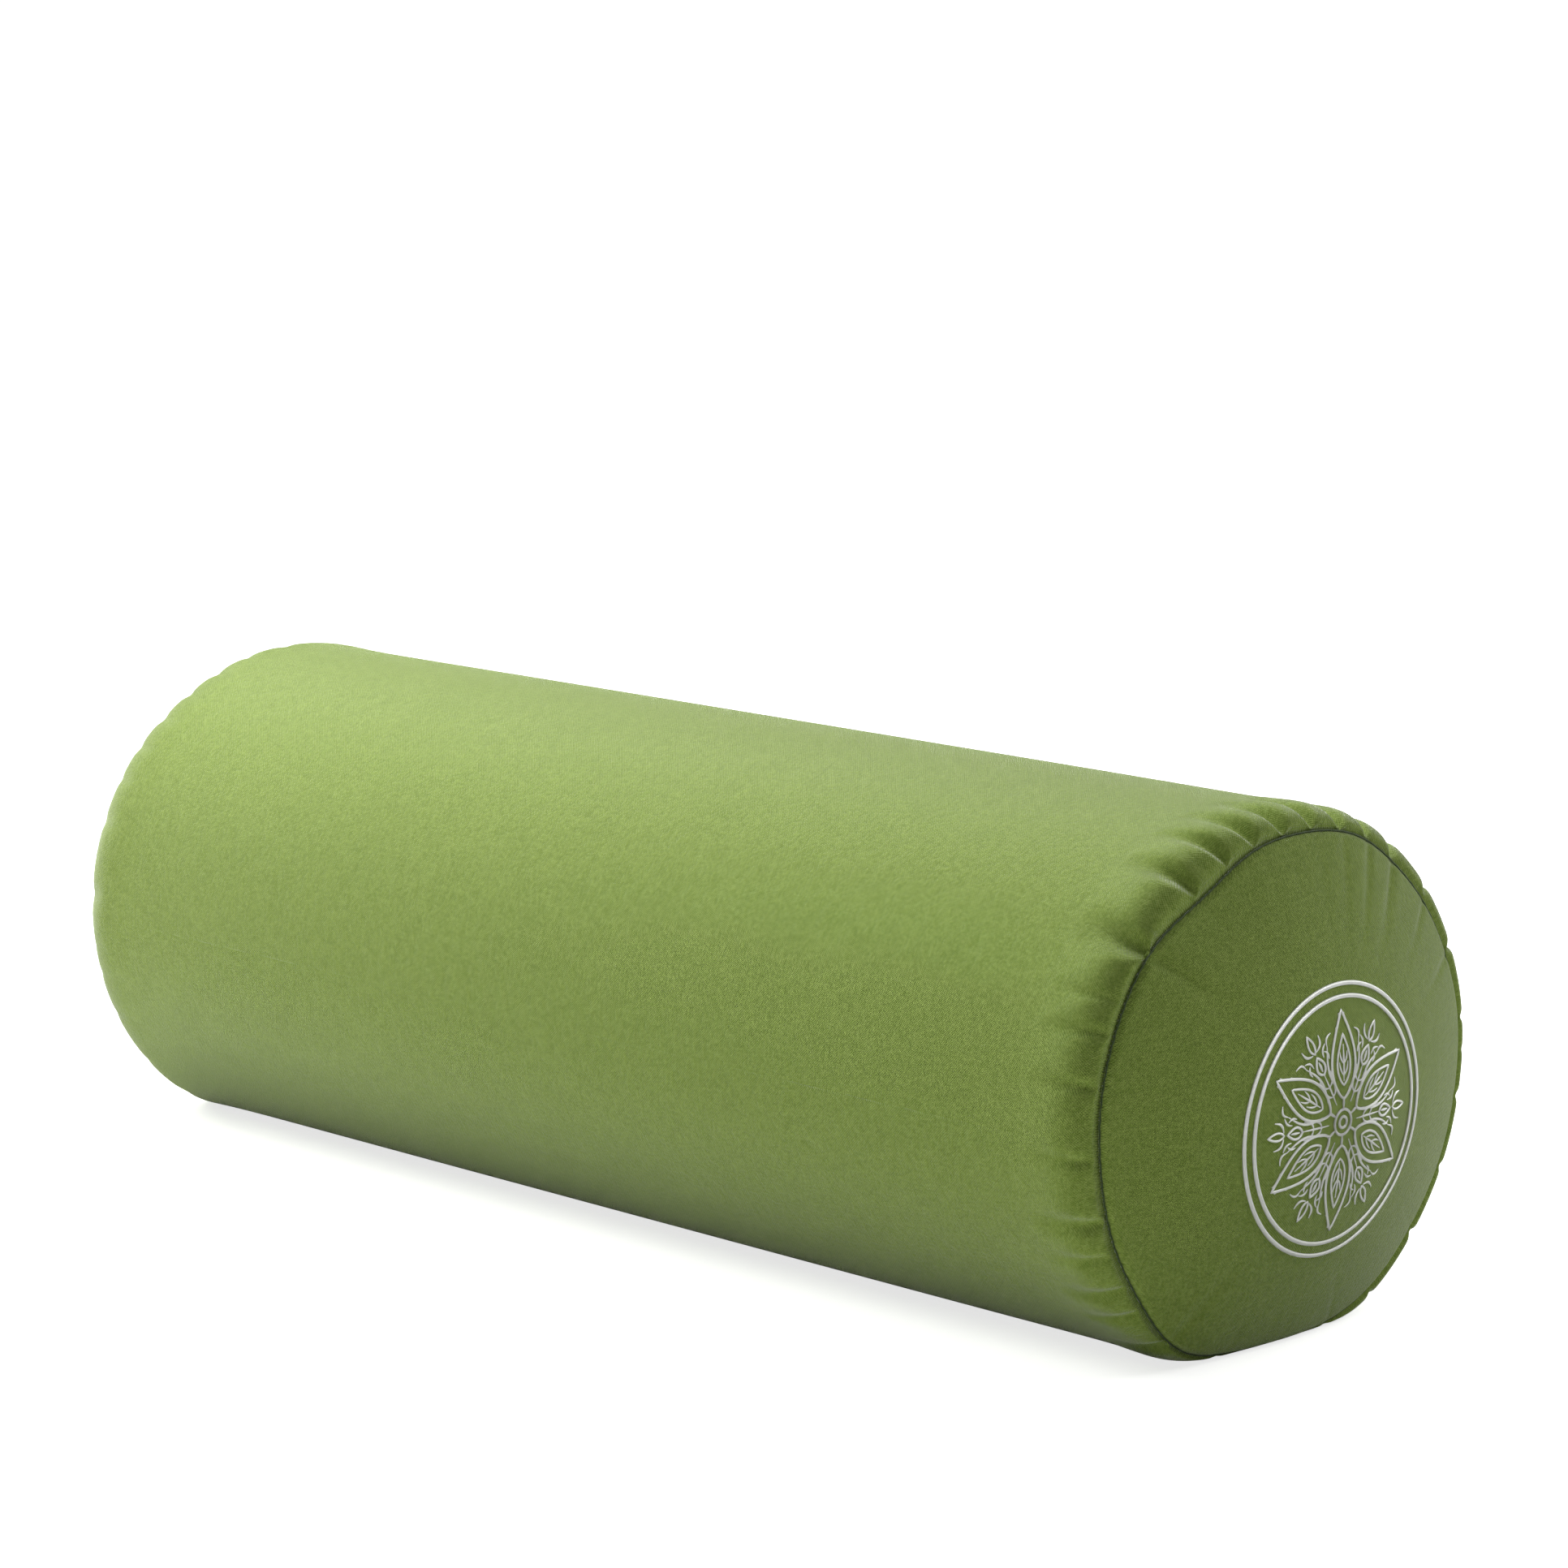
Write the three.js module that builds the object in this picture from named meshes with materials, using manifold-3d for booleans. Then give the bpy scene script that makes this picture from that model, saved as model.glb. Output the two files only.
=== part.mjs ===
// Bolster pillow: a zipped, washable cover over an inner case, a wadding wrap and a foam core.
// Millimetres, +Z up. X runs along the bolster, with the embroidered end at +X and the zip at +Y.
// Every solid is first made about the bolster's axis, and the whole is then lifted onto its underside.
import * as THREE from "three";
import { mergeVertices } from "three/addons/utils/BufferGeometryUtils.js";
import Module from "manifold-3d";

const wasm = await Module();
wasm.setup();

// ---- Whole bolster ----
const overallLength = 650; // dome tip to dome tip
const barrelDiameter = 220;
const settledSpread = 11; // how much wider than tall the barrel lies
const restFlatDepth = 12; // how far the underside is pressed flat
const zipFlatDepth = 2.5; // how far the back is flat under the zip
const domeHeight = 22; // an end panel's crown above its seam
const shoulderDrop = 9.5; // from the barrel's radius down to the end seam's
const shoulderLength = 20;

// ---- Layers, from the outside in ----
const coverThickness = 1.2;
const caseThickness = 0.6;
const waddingThickness = 12;
const foamEndInset = 8; // from an end seam back to the foam core's flat end
const fitGap = 0.3; // between pieces that lie against each other
const seamAllowance = 8;
const threadSize = 0.5;

// ---- Zip ----
const zipEndMargin = 33; // from an end seam to the end of the slot in the cover
const slotEndGap = 1.5;
const slotSideGap = 0.7; // from the slider to the cover's folded edge
const tapeWidth = 14;
const tapeThickness = 0.6;
const tapeOverrun = 12; // tape under the cover past each end of the slot
const coilGap = 1.6; // between the two rows, where the slider's post runs
const coilWidth = 2.4;
const coilHeight = 1.8;
const stopLength = 3;
const stopRise = 0.6; // how much higher than the coil a stop stands
const topstitchInset = 3; // from the cover's folded edge to its row of stitches
const caseSeamOffset = 18; // the case's closing seam, above the zip's centre line
const caseSeamLength = 220;

// ---- Slider and pull tab ----
const sliderLength = 11;
const sliderPlate = 1.2;
const sliderFoot = 1;
const sliderFlange = 0.8;
const sliderCorner = 1.2;
const postLength = 3;
const postWidth = 1;
const bridgeSpan = 8.4;
const bridgeWidth = 1.8;
const bridgeClear = 2.2; // free height under the bridge
const bridgeThickness = 0.9;
const tabLength = 30;
const tabWidth = 7.5;
const tabEyeWidth = 5.4;
const tabThickness = 1.2;
const tabWindowLength = 9;
const tabWindowWidth = 2.6;
const pivotReach = 0.5; // from the pivot's centre to the flat side of the eye's bar
const pivotGap = 0.4;

// ---- Embroidery on the +X end ----
const emblemAcross = 7; // the emblem's centre, towards +Y from the bolster's axis
const emblemDown = 8; // and below it
const outerRingRadius = 53;
const ringSpacing = 4.8;
const ringStitch = 1.8;
const stitchRise = 0.8;
const rosetteMargin = 5; // from the inner ring to the petals' tips
const petalCount = 6;
const petalHalfWidth = 8;
const petalStitch = 1.6;
const petalOpeningInset = 2.6; // from the hub, and twice this from the tip, to a petal's opening
const budStem = 24;
const budRadius = 2.6;
const hubRadius = 5;
const backingMargin = 5;
const backingThickness = 0.4;

// ---- Smoothness ----
const turnSteps = 40;
const domeSteps = 4;
const shoulderSteps = 3;
const ringSteps = 40;
const arcSteps = 5;

// ---- Worked out from the values above ----
const barrelRadius = barrelDiameter / 2;
const seamRadius = barrelRadius - shoulderDrop;
const domeTip = overallLength / 2;
const seamX = domeTip - domeHeight;
const domeSphere = (seamRadius ** 2 + domeHeight ** 2) / (2 * domeHeight);
const widen = (barrelDiameter + settledSpread) / barrelDiameter;
const axisHeight = barrelRadius - restFlatDepth;
const backFace = barrelRadius * widen - zipFlatDepth;
const shoulderStart = seamX - shoulderLength;

const tapeFace = backFace - coverThickness - fitGap;
const tapeBack = tapeFace - tapeThickness;
const coilFoot = tapeFace + fitGap;
const coilFace = coilFoot + coilHeight;
const sliderFace = coilFace + fitGap + sliderPlate;
const sliderBack = tapeBack - fitGap - sliderFoot;
const sliderHalfWidth = coilGap / 2 + coilWidth + fitGap + sliderFlange;
const slotHalfHeight = sliderHalfWidth + slotSideGap;
const slotHalfLength = seamX - zipEndMargin;
const stopEnd = slotHalfLength - slotEndGap;
const coilHalfLength = stopEnd - stopLength - fitGap;
const sliderX = sliderLength / 2 - coilHalfLength;
const pivotY = sliderFace + bridgeClear / 2;

const caseBack = sliderBack - fitGap - threadSize;
const caseInset = coverThickness + fitGap;
const caseDomeInset = coverThickness + backingThickness + 2 * fitGap;
const neckRadius = seamRadius - seamAllowance - threadSize - 2 * fitGap;
const turnedEdgeX = seamX - fitGap / 2 - coverThickness;
const caseStepX = turnedEdgeX - threadSize - 2 * fitGap;
const waddingInset = caseThickness + fitGap;
const foamInset = caseInset + waddingInset + waddingThickness + fitGap;
const foamHalfLength = seamX - foamEndInset;
const farAway = overallLength + barrelDiameter;

const innerRingRadius = outerRingRadius - ringSpacing;
const petalLength = innerRingRadius - rosetteMargin;

// ---- Helpers ----

// A closed geometry as a manifold solid.
function solidOf(geometry) {
  geometry.deleteAttribute("normal");
  geometry.deleteAttribute("uv");
  const merged = mergeVertices(geometry, 1e-4);
  return new wasm.Manifold(
    new wasm.Mesh({
      numProp: 3,
      vertProperties: merged.attributes.position.array,
      triVerts: new Uint32Array(merged.index.array),
    }),
  );
}

// A manifold solid as a geometry that can be drawn.
function geometryOf(solid) {
  const mesh = solid.getMesh();
  const geometry = new THREE.BufferGeometry();
  geometry.setAttribute("position", new THREE.BufferAttribute(mesh.vertProperties, 3));
  geometry.setIndex(new THREE.BufferAttribute(mesh.triVerts, 1));
  geometry.computeVertexNormals();
  return geometry;
}

// A box from its lowest to its highest corner.
function block(low, high) {
  const size = high.map((value, i) => value - low[i]);
  const box = new THREE.BoxGeometry(...size);
  box.translate(...low.map((value, i) => value + size[i] / 2));
  return solidOf(box);
}

// Everything between two planes across the bolster.
function slab(fromX, toX) {
  return block([fromX, -farAway, -farAway], [toX, farAway, farAway]);
}

// A profile of [x, radius] points turned about the bolster's axis.
function turned(profile) {
  const points = profile.map(([x, radius]) => new THREE.Vector2(radius, x));
  const lathe = new THREE.LatheGeometry(points, turnSteps);
  lathe.rotateZ(-Math.PI / 2);
  return solidOf(lathe);
}

// A shape drawn in X and Z, made solid between two distances along Y.
function slabAlongY(shape, fromY, toY) {
  const options = { depth: toY - fromY, bevelEnabled: false, curveSegments: arcSteps };
  const geometry = new THREE.ExtrudeGeometry(shape, options);
  geometry.rotateX(Math.PI / 2);
  geometry.translate(0, toY, 0);
  return solidOf(geometry);
}

// A shape drawn as the +X end is seen, with +Y to the right, made solid along X.
function slabAlongX(shape, fromX, toX, curveSegments) {
  const options = { depth: toX - fromX, bevelEnabled: false, curveSegments };
  const geometry = new THREE.ExtrudeGeometry(shape, options);
  const across = new THREE.Vector3(0, 1, 0);
  const up = new THREE.Vector3(0, 0, 1);
  const along = new THREE.Vector3(1, 0, 0);
  geometry.applyMatrix4(new THREE.Matrix4().makeBasis(across, up, along));
  geometry.translate(fromX, 0, 0);
  return solidOf(geometry);
}

// An arc from a dome's edge up to its tip, as [x, radius] points. Every dome bends at the same angles.
function domeArc(inset, edgeRadius) {
  const sphere = domeSphere - inset;
  const edgeAngle = Math.asin(edgeRadius / sphere);
  const stepAngle = Math.asin(seamRadius / domeSphere) / domeSteps;
  const bends = Array.from({ length: domeSteps }, (_, i) => i * stepAngle);
  const angles = [...bends.filter((angle) => angle < edgeAngle - stepAngle / domeSteps), edgeAngle];
  const centreX = domeTip - domeSphere;
  const points = angles.map((angle) => [centreX + sphere * Math.cos(angle), sphere * Math.sin(angle)]);
  return points.reverse();
}

// A quarter ellipse from the barrel down to a point near the end seam, without that point.
function shoulderArc(radius, endX, endRadius) {
  return Array.from({ length: shoulderSteps }, (_, i) => {
    const angle = (i / shoulderSteps) * (Math.PI / 2);
    const x = shoulderStart + (endX - shoulderStart) * Math.sin(angle);
    return [x, endRadius + (radius - endRadius) * Math.cos(angle)];
  });
}

// A half profile and its mirror, turned, spread sideways, and pressed flat below and behind.
function settled(half, lowest, rearmost) {
  const mirrored = half.map(([x, radius]) => [-x, radius]).reverse();
  const round = turned([...mirrored, ...half]).scale([1, widen, 1]);
  return round.intersect(block([-farAway, -farAway, lowest], [farAway, rearmost, farAway]));
}

// The bolster's outer form, drawn in by a distance.
function coverForm(inset) {
  const dome = domeArc(inset, seamRadius - inset);
  const shoulder = shoulderArc(barrelRadius - inset, ...dome[0]);
  return settled([...shoulder, ...dome], inset - axisHeight, backFace - inset);
}

// The inner case's form, drawn in by a distance. Its ends neck in past the cover's seam allowances.
function caseForm(inset) {
  const dome = domeArc(caseDomeInset + inset, neckRadius - inset);
  const stepX = caseStepX - inset;
  const stepRadius = seamRadius - caseInset - inset;
  const shoulder = shoulderArc(barrelRadius - caseInset - inset, stepX, stepRadius);
  const step = [
    [stepX, stepRadius],
    [stepX, neckRadius - inset],
  ];
  return settled([...shoulder, ...step, ...dome], caseInset + inset - axisHeight, caseBack - inset);
}

// A drum about the bolster's axis, long enough to pass through both ends.
function drum(radius) {
  const profile = [
    [-farAway, 0],
    [-farAway, radius],
    [farAway, radius],
    [farAway, 0],
  ];
  return turned(profile).scale([1, widen, 1]);
}

// The foam core's form, drawn in by a distance.
function foamForm(inset) {
  const reach = foamHalfLength - inset;
  const lowest = foamInset + inset - axisHeight;
  const rearmost = caseBack - (foamInset - caseInset) - inset;
  const room = block([-reach, -farAway, lowest], [reach, rearmost, farAway]);
  return drum(barrelRadius - foamInset - inset).intersect(room);
}

// A panel's edge turned in at an end seam, between two planes across the bolster.
function turnedEdge(fromX, toX) {
  const outer = coverForm(coverThickness / 2).intersect(slab(fromX, toX));
  return outer.subtract(drum(seamRadius - seamAllowance));
}

// ---- The cover ----

// The barrel of the cover, with a slot along the back for the zip and its ends turned in at the seams.
function coverBodyPanel() {
  const end = seamX - fitGap / 2;
  const shell = coverForm(0).subtract(coverForm(coverThickness)).intersect(slab(-end, end));
  const frontEdge = turnedEdge(end - coverThickness, end);
  const rearEdge = turnedEdge(-end, coverThickness - end);
  const slot = block(
    [-slotHalfLength, backFace - 2 * coverThickness, -slotHalfHeight],
    [slotHalfLength, backFace + coverThickness, slotHalfHeight],
  );
  return shell.add(frontEdge).add(rearEdge).subtract(slot);
}

// A domed round end of the cover, with its edge turned in at the seam.
function coverEndPanel(side) {
  const start = seamX + fitGap / 2;
  const shell = coverForm(0).subtract(coverForm(coverThickness)).intersect(slab(start, farAway));
  const edge = turnedEdge(start, start + coverThickness);
  return atEnd(shell.add(edge), side);
}

// A solid made at the +X end, kept there or mirrored to the -X end.
function atEnd(solid, side) {
  return side > 0 ? solid : solid.mirror([1, 0, 0]);
}

// The row of stitches that holds a cover end panel to the body, inside the turned edges.
function coverEndSeam(side) {
  const toX = turnedEdgeX - fitGap;
  const radius = seamRadius - 2 * coverThickness;
  const lowest = coverThickness + fitGap - axisHeight;
  const room = block([toX - threadSize, -farAway, lowest], [toX, farAway, farAway]);
  const outer = drum(radius).intersect(room);
  const inner = drum(radius - threadSize);
  const above = block([-farAway, -farAway, lowest + threadSize], [farAway, farAway, farAway]);
  return atEnd(outer.subtract(inner.intersect(above)), side);
}

// ---- The embroidery ----

// What an end panel's stitches can fill: a skin just above the +X dome.
function stitchSkin() {
  const skin = coverForm(-fitGap - stitchRise).subtract(coverForm(-fitGap));
  return skin.intersect(slab(seamX, farAway));
}

// A shape drawn about the emblem's centre, laid over the dome as a stitched skin.
function stitched(shape, curveSegments = arcSteps) {
  const stitches = slabAlongX(shape, seamX, domeTip + 2 * stitchRise, curveSegments);
  return stitches.translate([0, emblemAcross, -emblemDown]);
}

// A plain ring between two radii about a point.
function ringShape(outer, inner, centreX = 0, centreY = 0) {
  const shape = new THREE.Shape();
  shape.absarc(centreX, centreY, outer, 0, 2 * Math.PI);
  const hole = new THREE.Path();
  hole.absarc(centreX, centreY, inner, 0, 2 * Math.PI, true);
  shape.holes.push(hole);
  return shape;
}

// A round spot about a point.
function discShape(radius, centreX = 0, centreY = 0) {
  const shape = new THREE.Shape();
  shape.absarc(centreX, centreY, radius, 0, 2 * Math.PI);
  return shape;
}

function embroideredRing(radius) {
  const half = ringStitch / 2;
  return stitched(ringShape(radius + half, radius - half), ringSteps / 2).intersect(stitchSkin());
}

// One petal's outline: a pointed oval along an angle, from the hub to its tip.
function petalPath(path, angle, start, tip, halfWidth) {
  const along = new THREE.Vector2(Math.cos(angle), Math.sin(angle));
  const across = new THREE.Vector2(-along.y, along.x);
  const at = (distance, side) => along.clone().multiplyScalar(distance).addScaledVector(across, side);
  const middle = (start + tip) / 2;
  const base = at(start, 0);
  const end = at(tip, 0);
  const left = at(middle, 2 * halfWidth);
  const right = at(middle, -2 * halfWidth);
  path.moveTo(base.x, base.y);
  path.quadraticCurveTo(right.x, right.y, end.x, end.y);
  path.quadraticCurveTo(left.x, left.y, base.x, base.y);
  return path;
}

// The rosette: open petals about a hub, with a bud on a stem between each two.
function embroideredRosette() {
  let motif = stitched(discShape(hubRadius));
  for (let i = 0; i < petalCount; i++) {
    const angle = Math.PI / 2 + (i * 2 * Math.PI) / petalCount;
    const petal = petalPath(new THREE.Shape(), angle, 0, petalLength, petalHalfWidth);
    const openingFrom = hubRadius + petalOpeningInset;
    const openingTo = petalLength - 2 * petalOpeningInset;
    const opening = [angle, openingFrom, openingTo, petalHalfWidth - petalStitch];
    petal.holes.push(petalPath(new THREE.Path(), ...opening));
    const between = angle + Math.PI / petalCount;
    const bud = [budStem * Math.cos(between), budStem * Math.sin(between)];
    const stem = petalPath(new THREE.Shape(), between, 0, budStem, petalStitch / 2);
    motif = motif.add(stitched(petal)).add(stitched(stem)).add(stitched(discShape(budRadius, ...bud)));
  }
  return motif.intersect(stitchSkin());
}

// The stabiliser fabric behind the stitches, on the panel's inner face.
function embroideryBacking() {
  const outer = coverForm(coverThickness + fitGap);
  const skin = outer.subtract(coverForm(coverThickness + fitGap + backingThickness));
  const disc = stitched(discShape(outerRingRadius + backingMargin), ringSteps / 4);
  return disc.intersect(skin);
}

// ---- The zip ----

// A tape, above (1) or below (-1) the zip's centre line.
function zipTape(side) {
  const reach = slotHalfLength + tapeOverrun;
  const tape = block([-reach, tapeBack, coilGap / 2], [reach, tapeFace, coilGap / 2 + tapeWidth]);
  return aboveOrBelow(tape, side);
}

// A row of coil on its tape's edge.
function zipCoil(side) {
  const low = [-coilHalfLength, coilFoot, coilGap / 2];
  const high = [coilHalfLength, coilFace, coilGap / 2 + coilWidth];
  return aboveOrBelow(block(low, high), side);
}

// The stop at the end of one row, where the slider rests when the zip is shut.
function zipTopStop(side) {
  const low = [-stopEnd, coilFoot, coilGap / 2];
  const high = [stopLength - stopEnd, coilFace + stopRise, coilGap / 2 + coilWidth];
  return aboveOrBelow(block(low, high), side);
}

// The stop across both rows, where the slider ends when the zip is open.
function zipBottomStop() {
  const reach = coilGap / 2 + coilWidth;
  return block([stopEnd - stopLength, coilFoot, -reach], [stopEnd, coilFace + stopRise, reach]);
}

function aboveOrBelow(solid, side) {
  return side > 0 ? solid : solid.mirror([0, 0, 1]);
}

// A rectangle about the zip's centre line, as a closed path.
function rectanglePath(path, halfLength, halfHeight) {
  path.moveTo(-halfLength, -halfHeight);
  path.lineTo(halfLength, -halfHeight);
  path.lineTo(halfLength, halfHeight);
  path.lineTo(-halfLength, halfHeight);
  path.closePath();
  return path;
}

// The stitches around the slot, through the cover and both tapes.
function zipTopstitch() {
  const halfLength = slotHalfLength + topstitchInset;
  const halfHeight = slotHalfHeight + topstitchInset;
  const frame = rectanglePath(new THREE.Shape(), halfLength + threadSize, halfHeight + threadSize);
  frame.holes.push(rectanglePath(new THREE.Path(), halfLength, halfHeight));
  return slabAlongY(frame, backFace + fitGap, backFace + fitGap + threadSize);
}

// A rectangle with round corners, about a centre on X.
function roundedRectangle(halfLength, halfHeight, corner) {
  const shape = new THREE.Shape();
  shape.absarc(halfLength - corner, halfHeight - corner, corner, 0, Math.PI / 2);
  shape.absarc(corner - halfLength, halfHeight - corner, corner, Math.PI / 2, Math.PI);
  shape.absarc(corner - halfLength, corner - halfHeight, corner, Math.PI, 1.5 * Math.PI);
  shape.absarc(halfLength - corner, corner - halfHeight, corner, 1.5 * Math.PI, 2 * Math.PI);
  return shape;
}

// The slider, about x = 0: two plates and side walls round the coil, a post and a bridge.
function zipSlider() {
  const halfLength = sliderLength / 2;
  const outline = roundedRectangle(halfLength, sliderHalfWidth, sliderCorner);
  const coilRoom = coilGap / 2 + coilWidth + fitGap;
  const channel = block(
    [-sliderLength, tapeBack - fitGap, -coilRoom],
    [sliderLength, coilFace + fitGap, coilRoom],
  );
  const tapeSlots = block(
    [-sliderLength, tapeBack - fitGap, -sliderLength],
    [sliderLength, tapeFace + fitGap, sliderLength],
  );
  const post = block(
    [sliderCorner - halfLength, sliderBack, -postWidth / 2],
    [sliderCorner - halfLength + postLength, sliderFace, postWidth / 2],
  );
  const body = slabAlongY(outline, sliderBack, sliderFace).subtract(channel).subtract(tapeSlots);
  return body.add(post).add(sliderBridge());
}

// The arch on the slider that holds the pull tab.
function sliderBridge() {
  const half = bridgeSpan / 2;
  const top = sliderFace + bridgeClear + bridgeThickness;
  const outer = block([-half, sliderFace - fitGap, -bridgeWidth / 2], [half, top, bridgeWidth / 2]);
  const room = block(
    [bridgeThickness - half, sliderFace, -bridgeWidth],
    [half - bridgeThickness, sliderFace + bridgeClear, bridgeWidth],
  );
  return outer.subtract(room);
}

// The pull tab, about its pivot at x = 0: an eye round the bridge, and a plate with a window.
function zipPullTab() {
  const half = tabThickness / 2;
  const eyeHalf = tabEyeWidth / 2;
  const tip = tabLength - tabWidth / 2;
  const plan = new THREE.Shape();
  plan.moveTo(-half, -eyeHalf);
  plan.lineTo(bridgeSpan, -eyeHalf);
  plan.lineTo(tip, -tabWidth / 2);
  plan.absarc(tip, 0, tabWidth / 2, -Math.PI / 2, Math.PI / 2);
  plan.lineTo(bridgeSpan, eyeHalf);
  plan.lineTo(-half, eyeHalf);
  plan.closePath();
  const side = new THREE.Shape();
  side.absarc(0, 0, half, Math.PI / 2, 1.5 * Math.PI);
  side.lineTo(tabLength, -half);
  side.lineTo(tabLength, half);
  side.closePath();
  const profile = new THREE.ExtrudeGeometry(side, { depth: 2 * tabWidth, bevelEnabled: false });
  profile.translate(0, 0, -tabWidth);
  const eyeEnd = Math.hypot(bridgeSpan / 2, bridgeClear / 2 + bridgeThickness) + pivotGap;
  const eye = block(
    [pivotReach, -tabThickness, -bridgeWidth / 2 - pivotGap],
    [eyeEnd, tabThickness, bridgeWidth / 2 + pivotGap],
  );
  const window = block(
    [tip - tabWindowLength, -tabThickness, -tabWindowWidth / 2],
    [tip, tabThickness, tabWindowWidth / 2],
  );
  return slabAlongY(plan, -half, half).intersect(solidOf(profile)).subtract(eye).subtract(window);
}

// ---- The filling ----

// The tube of the inner case.
function innerCaseBody() {
  const end = caseStepX + coverThickness - fitGap / 2;
  return caseForm(0).subtract(caseForm(caseThickness)).intersect(slab(-end, end));
}

// A domed round end of the inner case.
function innerCaseEnd(side) {
  const start = caseStepX + coverThickness + fitGap / 2;
  const shell = caseForm(0).subtract(caseForm(caseThickness)).intersect(slab(start, farAway));
  return atEnd(shell, side);
}

// The stitches round the neck of the inner case, where its end is sewn on.
function innerCaseEndSeam(side) {
  const middle = caseStepX + coverThickness;
  const neck = [
    [middle - threadSize / 2, neckRadius + fitGap],
    [middle - threadSize / 2, neckRadius + fitGap + threadSize],
    [middle + threadSize / 2, neckRadius + fitGap + threadSize],
    [middle + threadSize / 2, neckRadius + fitGap],
    [middle - threadSize / 2, neckRadius + fitGap],
  ];
  return atEnd(turned(neck).scale([1, widen, 1]), side);
}

// The row of stitches that shuts the inner case once it is filled. The zip gives access to it.
function innerCaseClosingSeam() {
  const low = [-caseSeamLength / 2, caseBack + fitGap, caseSeamOffset];
  const high = [caseSeamLength / 2, caseBack + fitGap + threadSize, caseSeamOffset + threadSize];
  return block(low, high);
}

// The wadding wrapped round the foam core.
function waddingWrap() {
  const wrap = caseForm(waddingInset).intersect(slab(-foamHalfLength, foamHalfLength));
  return wrap.subtract(foamForm(-fitGap));
}

// The domed wadding pad between the foam core and one end of the inner case.
function waddingPad(side) {
  return atEnd(caseForm(waddingInset).intersect(slab(foamHalfLength + fitGap, farAway)), side);
}

// ---- Assembly ----

const finishes = {
  coverFabric: { color: 0x86a45a, roughness: 0.85, metalness: 0 },
  seamThread: { color: 0x4c5c26, roughness: 0.8, metalness: 0 },
  silverThread: { color: 0xc9cfc4, roughness: 0.45, metalness: 0 },
  backing: { color: 0xf0f0ec, roughness: 0.95, metalness: 0 },
  zipTape: { color: 0x6f8a45, roughness: 0.85, metalness: 0 },
  zipCoil: { color: 0x7d9850, roughness: 0.5, metalness: 0 },
  sliderMetal: { color: 0xb9bcb8, roughness: 0.35, metalness: 1 },
  caseCotton: { color: 0xe9e4d6, roughness: 0.9, metalness: 0 },
  wadding: { color: 0xf6f5f0, roughness: 1, metalness: 0 },
  foam: { color: 0xe6dfb8, roughness: 1, metalness: 0 },
};

function part(name, solid, finish) {
  const mesh = new THREE.Mesh(geometryOf(solid), new THREE.MeshStandardMaterial(finish));
  mesh.name = name;
  return mesh;
}

const slider = new THREE.Group();
slider.position.set(sliderX, 0, 0);
slider.add(part("zip_slider", zipSlider(), finishes.sliderMetal));
const pullTab = part("zip_pull_tab", zipPullTab(), finishes.sliderMetal);
pullTab.position.set(0, pivotY, 0);
slider.add(pullTab);

const bolster = new THREE.Group();
bolster.position.set(0, 0, axisHeight);
bolster.add(
  part("cover_body_panel", coverBodyPanel(), finishes.coverFabric),
  part("cover_end_panel_front", coverEndPanel(1), finishes.coverFabric),
  part("cover_end_panel_rear", coverEndPanel(-1), finishes.coverFabric),
  part("cover_end_seam_front", coverEndSeam(1), finishes.seamThread),
  part("cover_end_seam_rear", coverEndSeam(-1), finishes.seamThread),
  part("embroidery_outer_ring", embroideredRing(outerRingRadius), finishes.silverThread),
  part("embroidery_inner_ring", embroideredRing(innerRingRadius), finishes.silverThread),
  part("embroidery_rosette", embroideredRosette(), finishes.silverThread),
  part("embroidery_backing", embroideryBacking(), finishes.backing),
  part("zip_tape_upper", zipTape(1), finishes.zipTape),
  part("zip_tape_lower", zipTape(-1), finishes.zipTape),
  part("zip_coil_upper", zipCoil(1), finishes.zipCoil),
  part("zip_coil_lower", zipCoil(-1), finishes.zipCoil),
  part("zip_top_stop_upper", zipTopStop(1), finishes.sliderMetal),
  part("zip_top_stop_lower", zipTopStop(-1), finishes.sliderMetal),
  part("zip_bottom_stop", zipBottomStop(), finishes.sliderMetal),
  part("zip_topstitch", zipTopstitch(), finishes.seamThread),
  slider,
  part("inner_case_body", innerCaseBody(), finishes.caseCotton),
  part("inner_case_end_front", innerCaseEnd(1), finishes.caseCotton),
  part("inner_case_end_rear", innerCaseEnd(-1), finishes.caseCotton),
  part("inner_case_end_seam_front", innerCaseEndSeam(1), finishes.caseCotton),
  part("inner_case_end_seam_rear", innerCaseEndSeam(-1), finishes.caseCotton),
  part("inner_case_closing_seam", innerCaseClosingSeam(), finishes.caseCotton),
  part("wadding_wrap", waddingWrap(), finishes.wadding),
  part("wadding_pad_front", waddingPad(1), finishes.wadding),
  part("wadding_pad_rear", waddingPad(-1), finishes.wadding),
  part("foam_core", foamForm(0), finishes.foam),
);

const assembly = new THREE.Group();
assembly.add(bolster);
export default assembly;
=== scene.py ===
import math

import bmesh
import bpy
import numpy as np
from mathutils import Matrix, Vector


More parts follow.
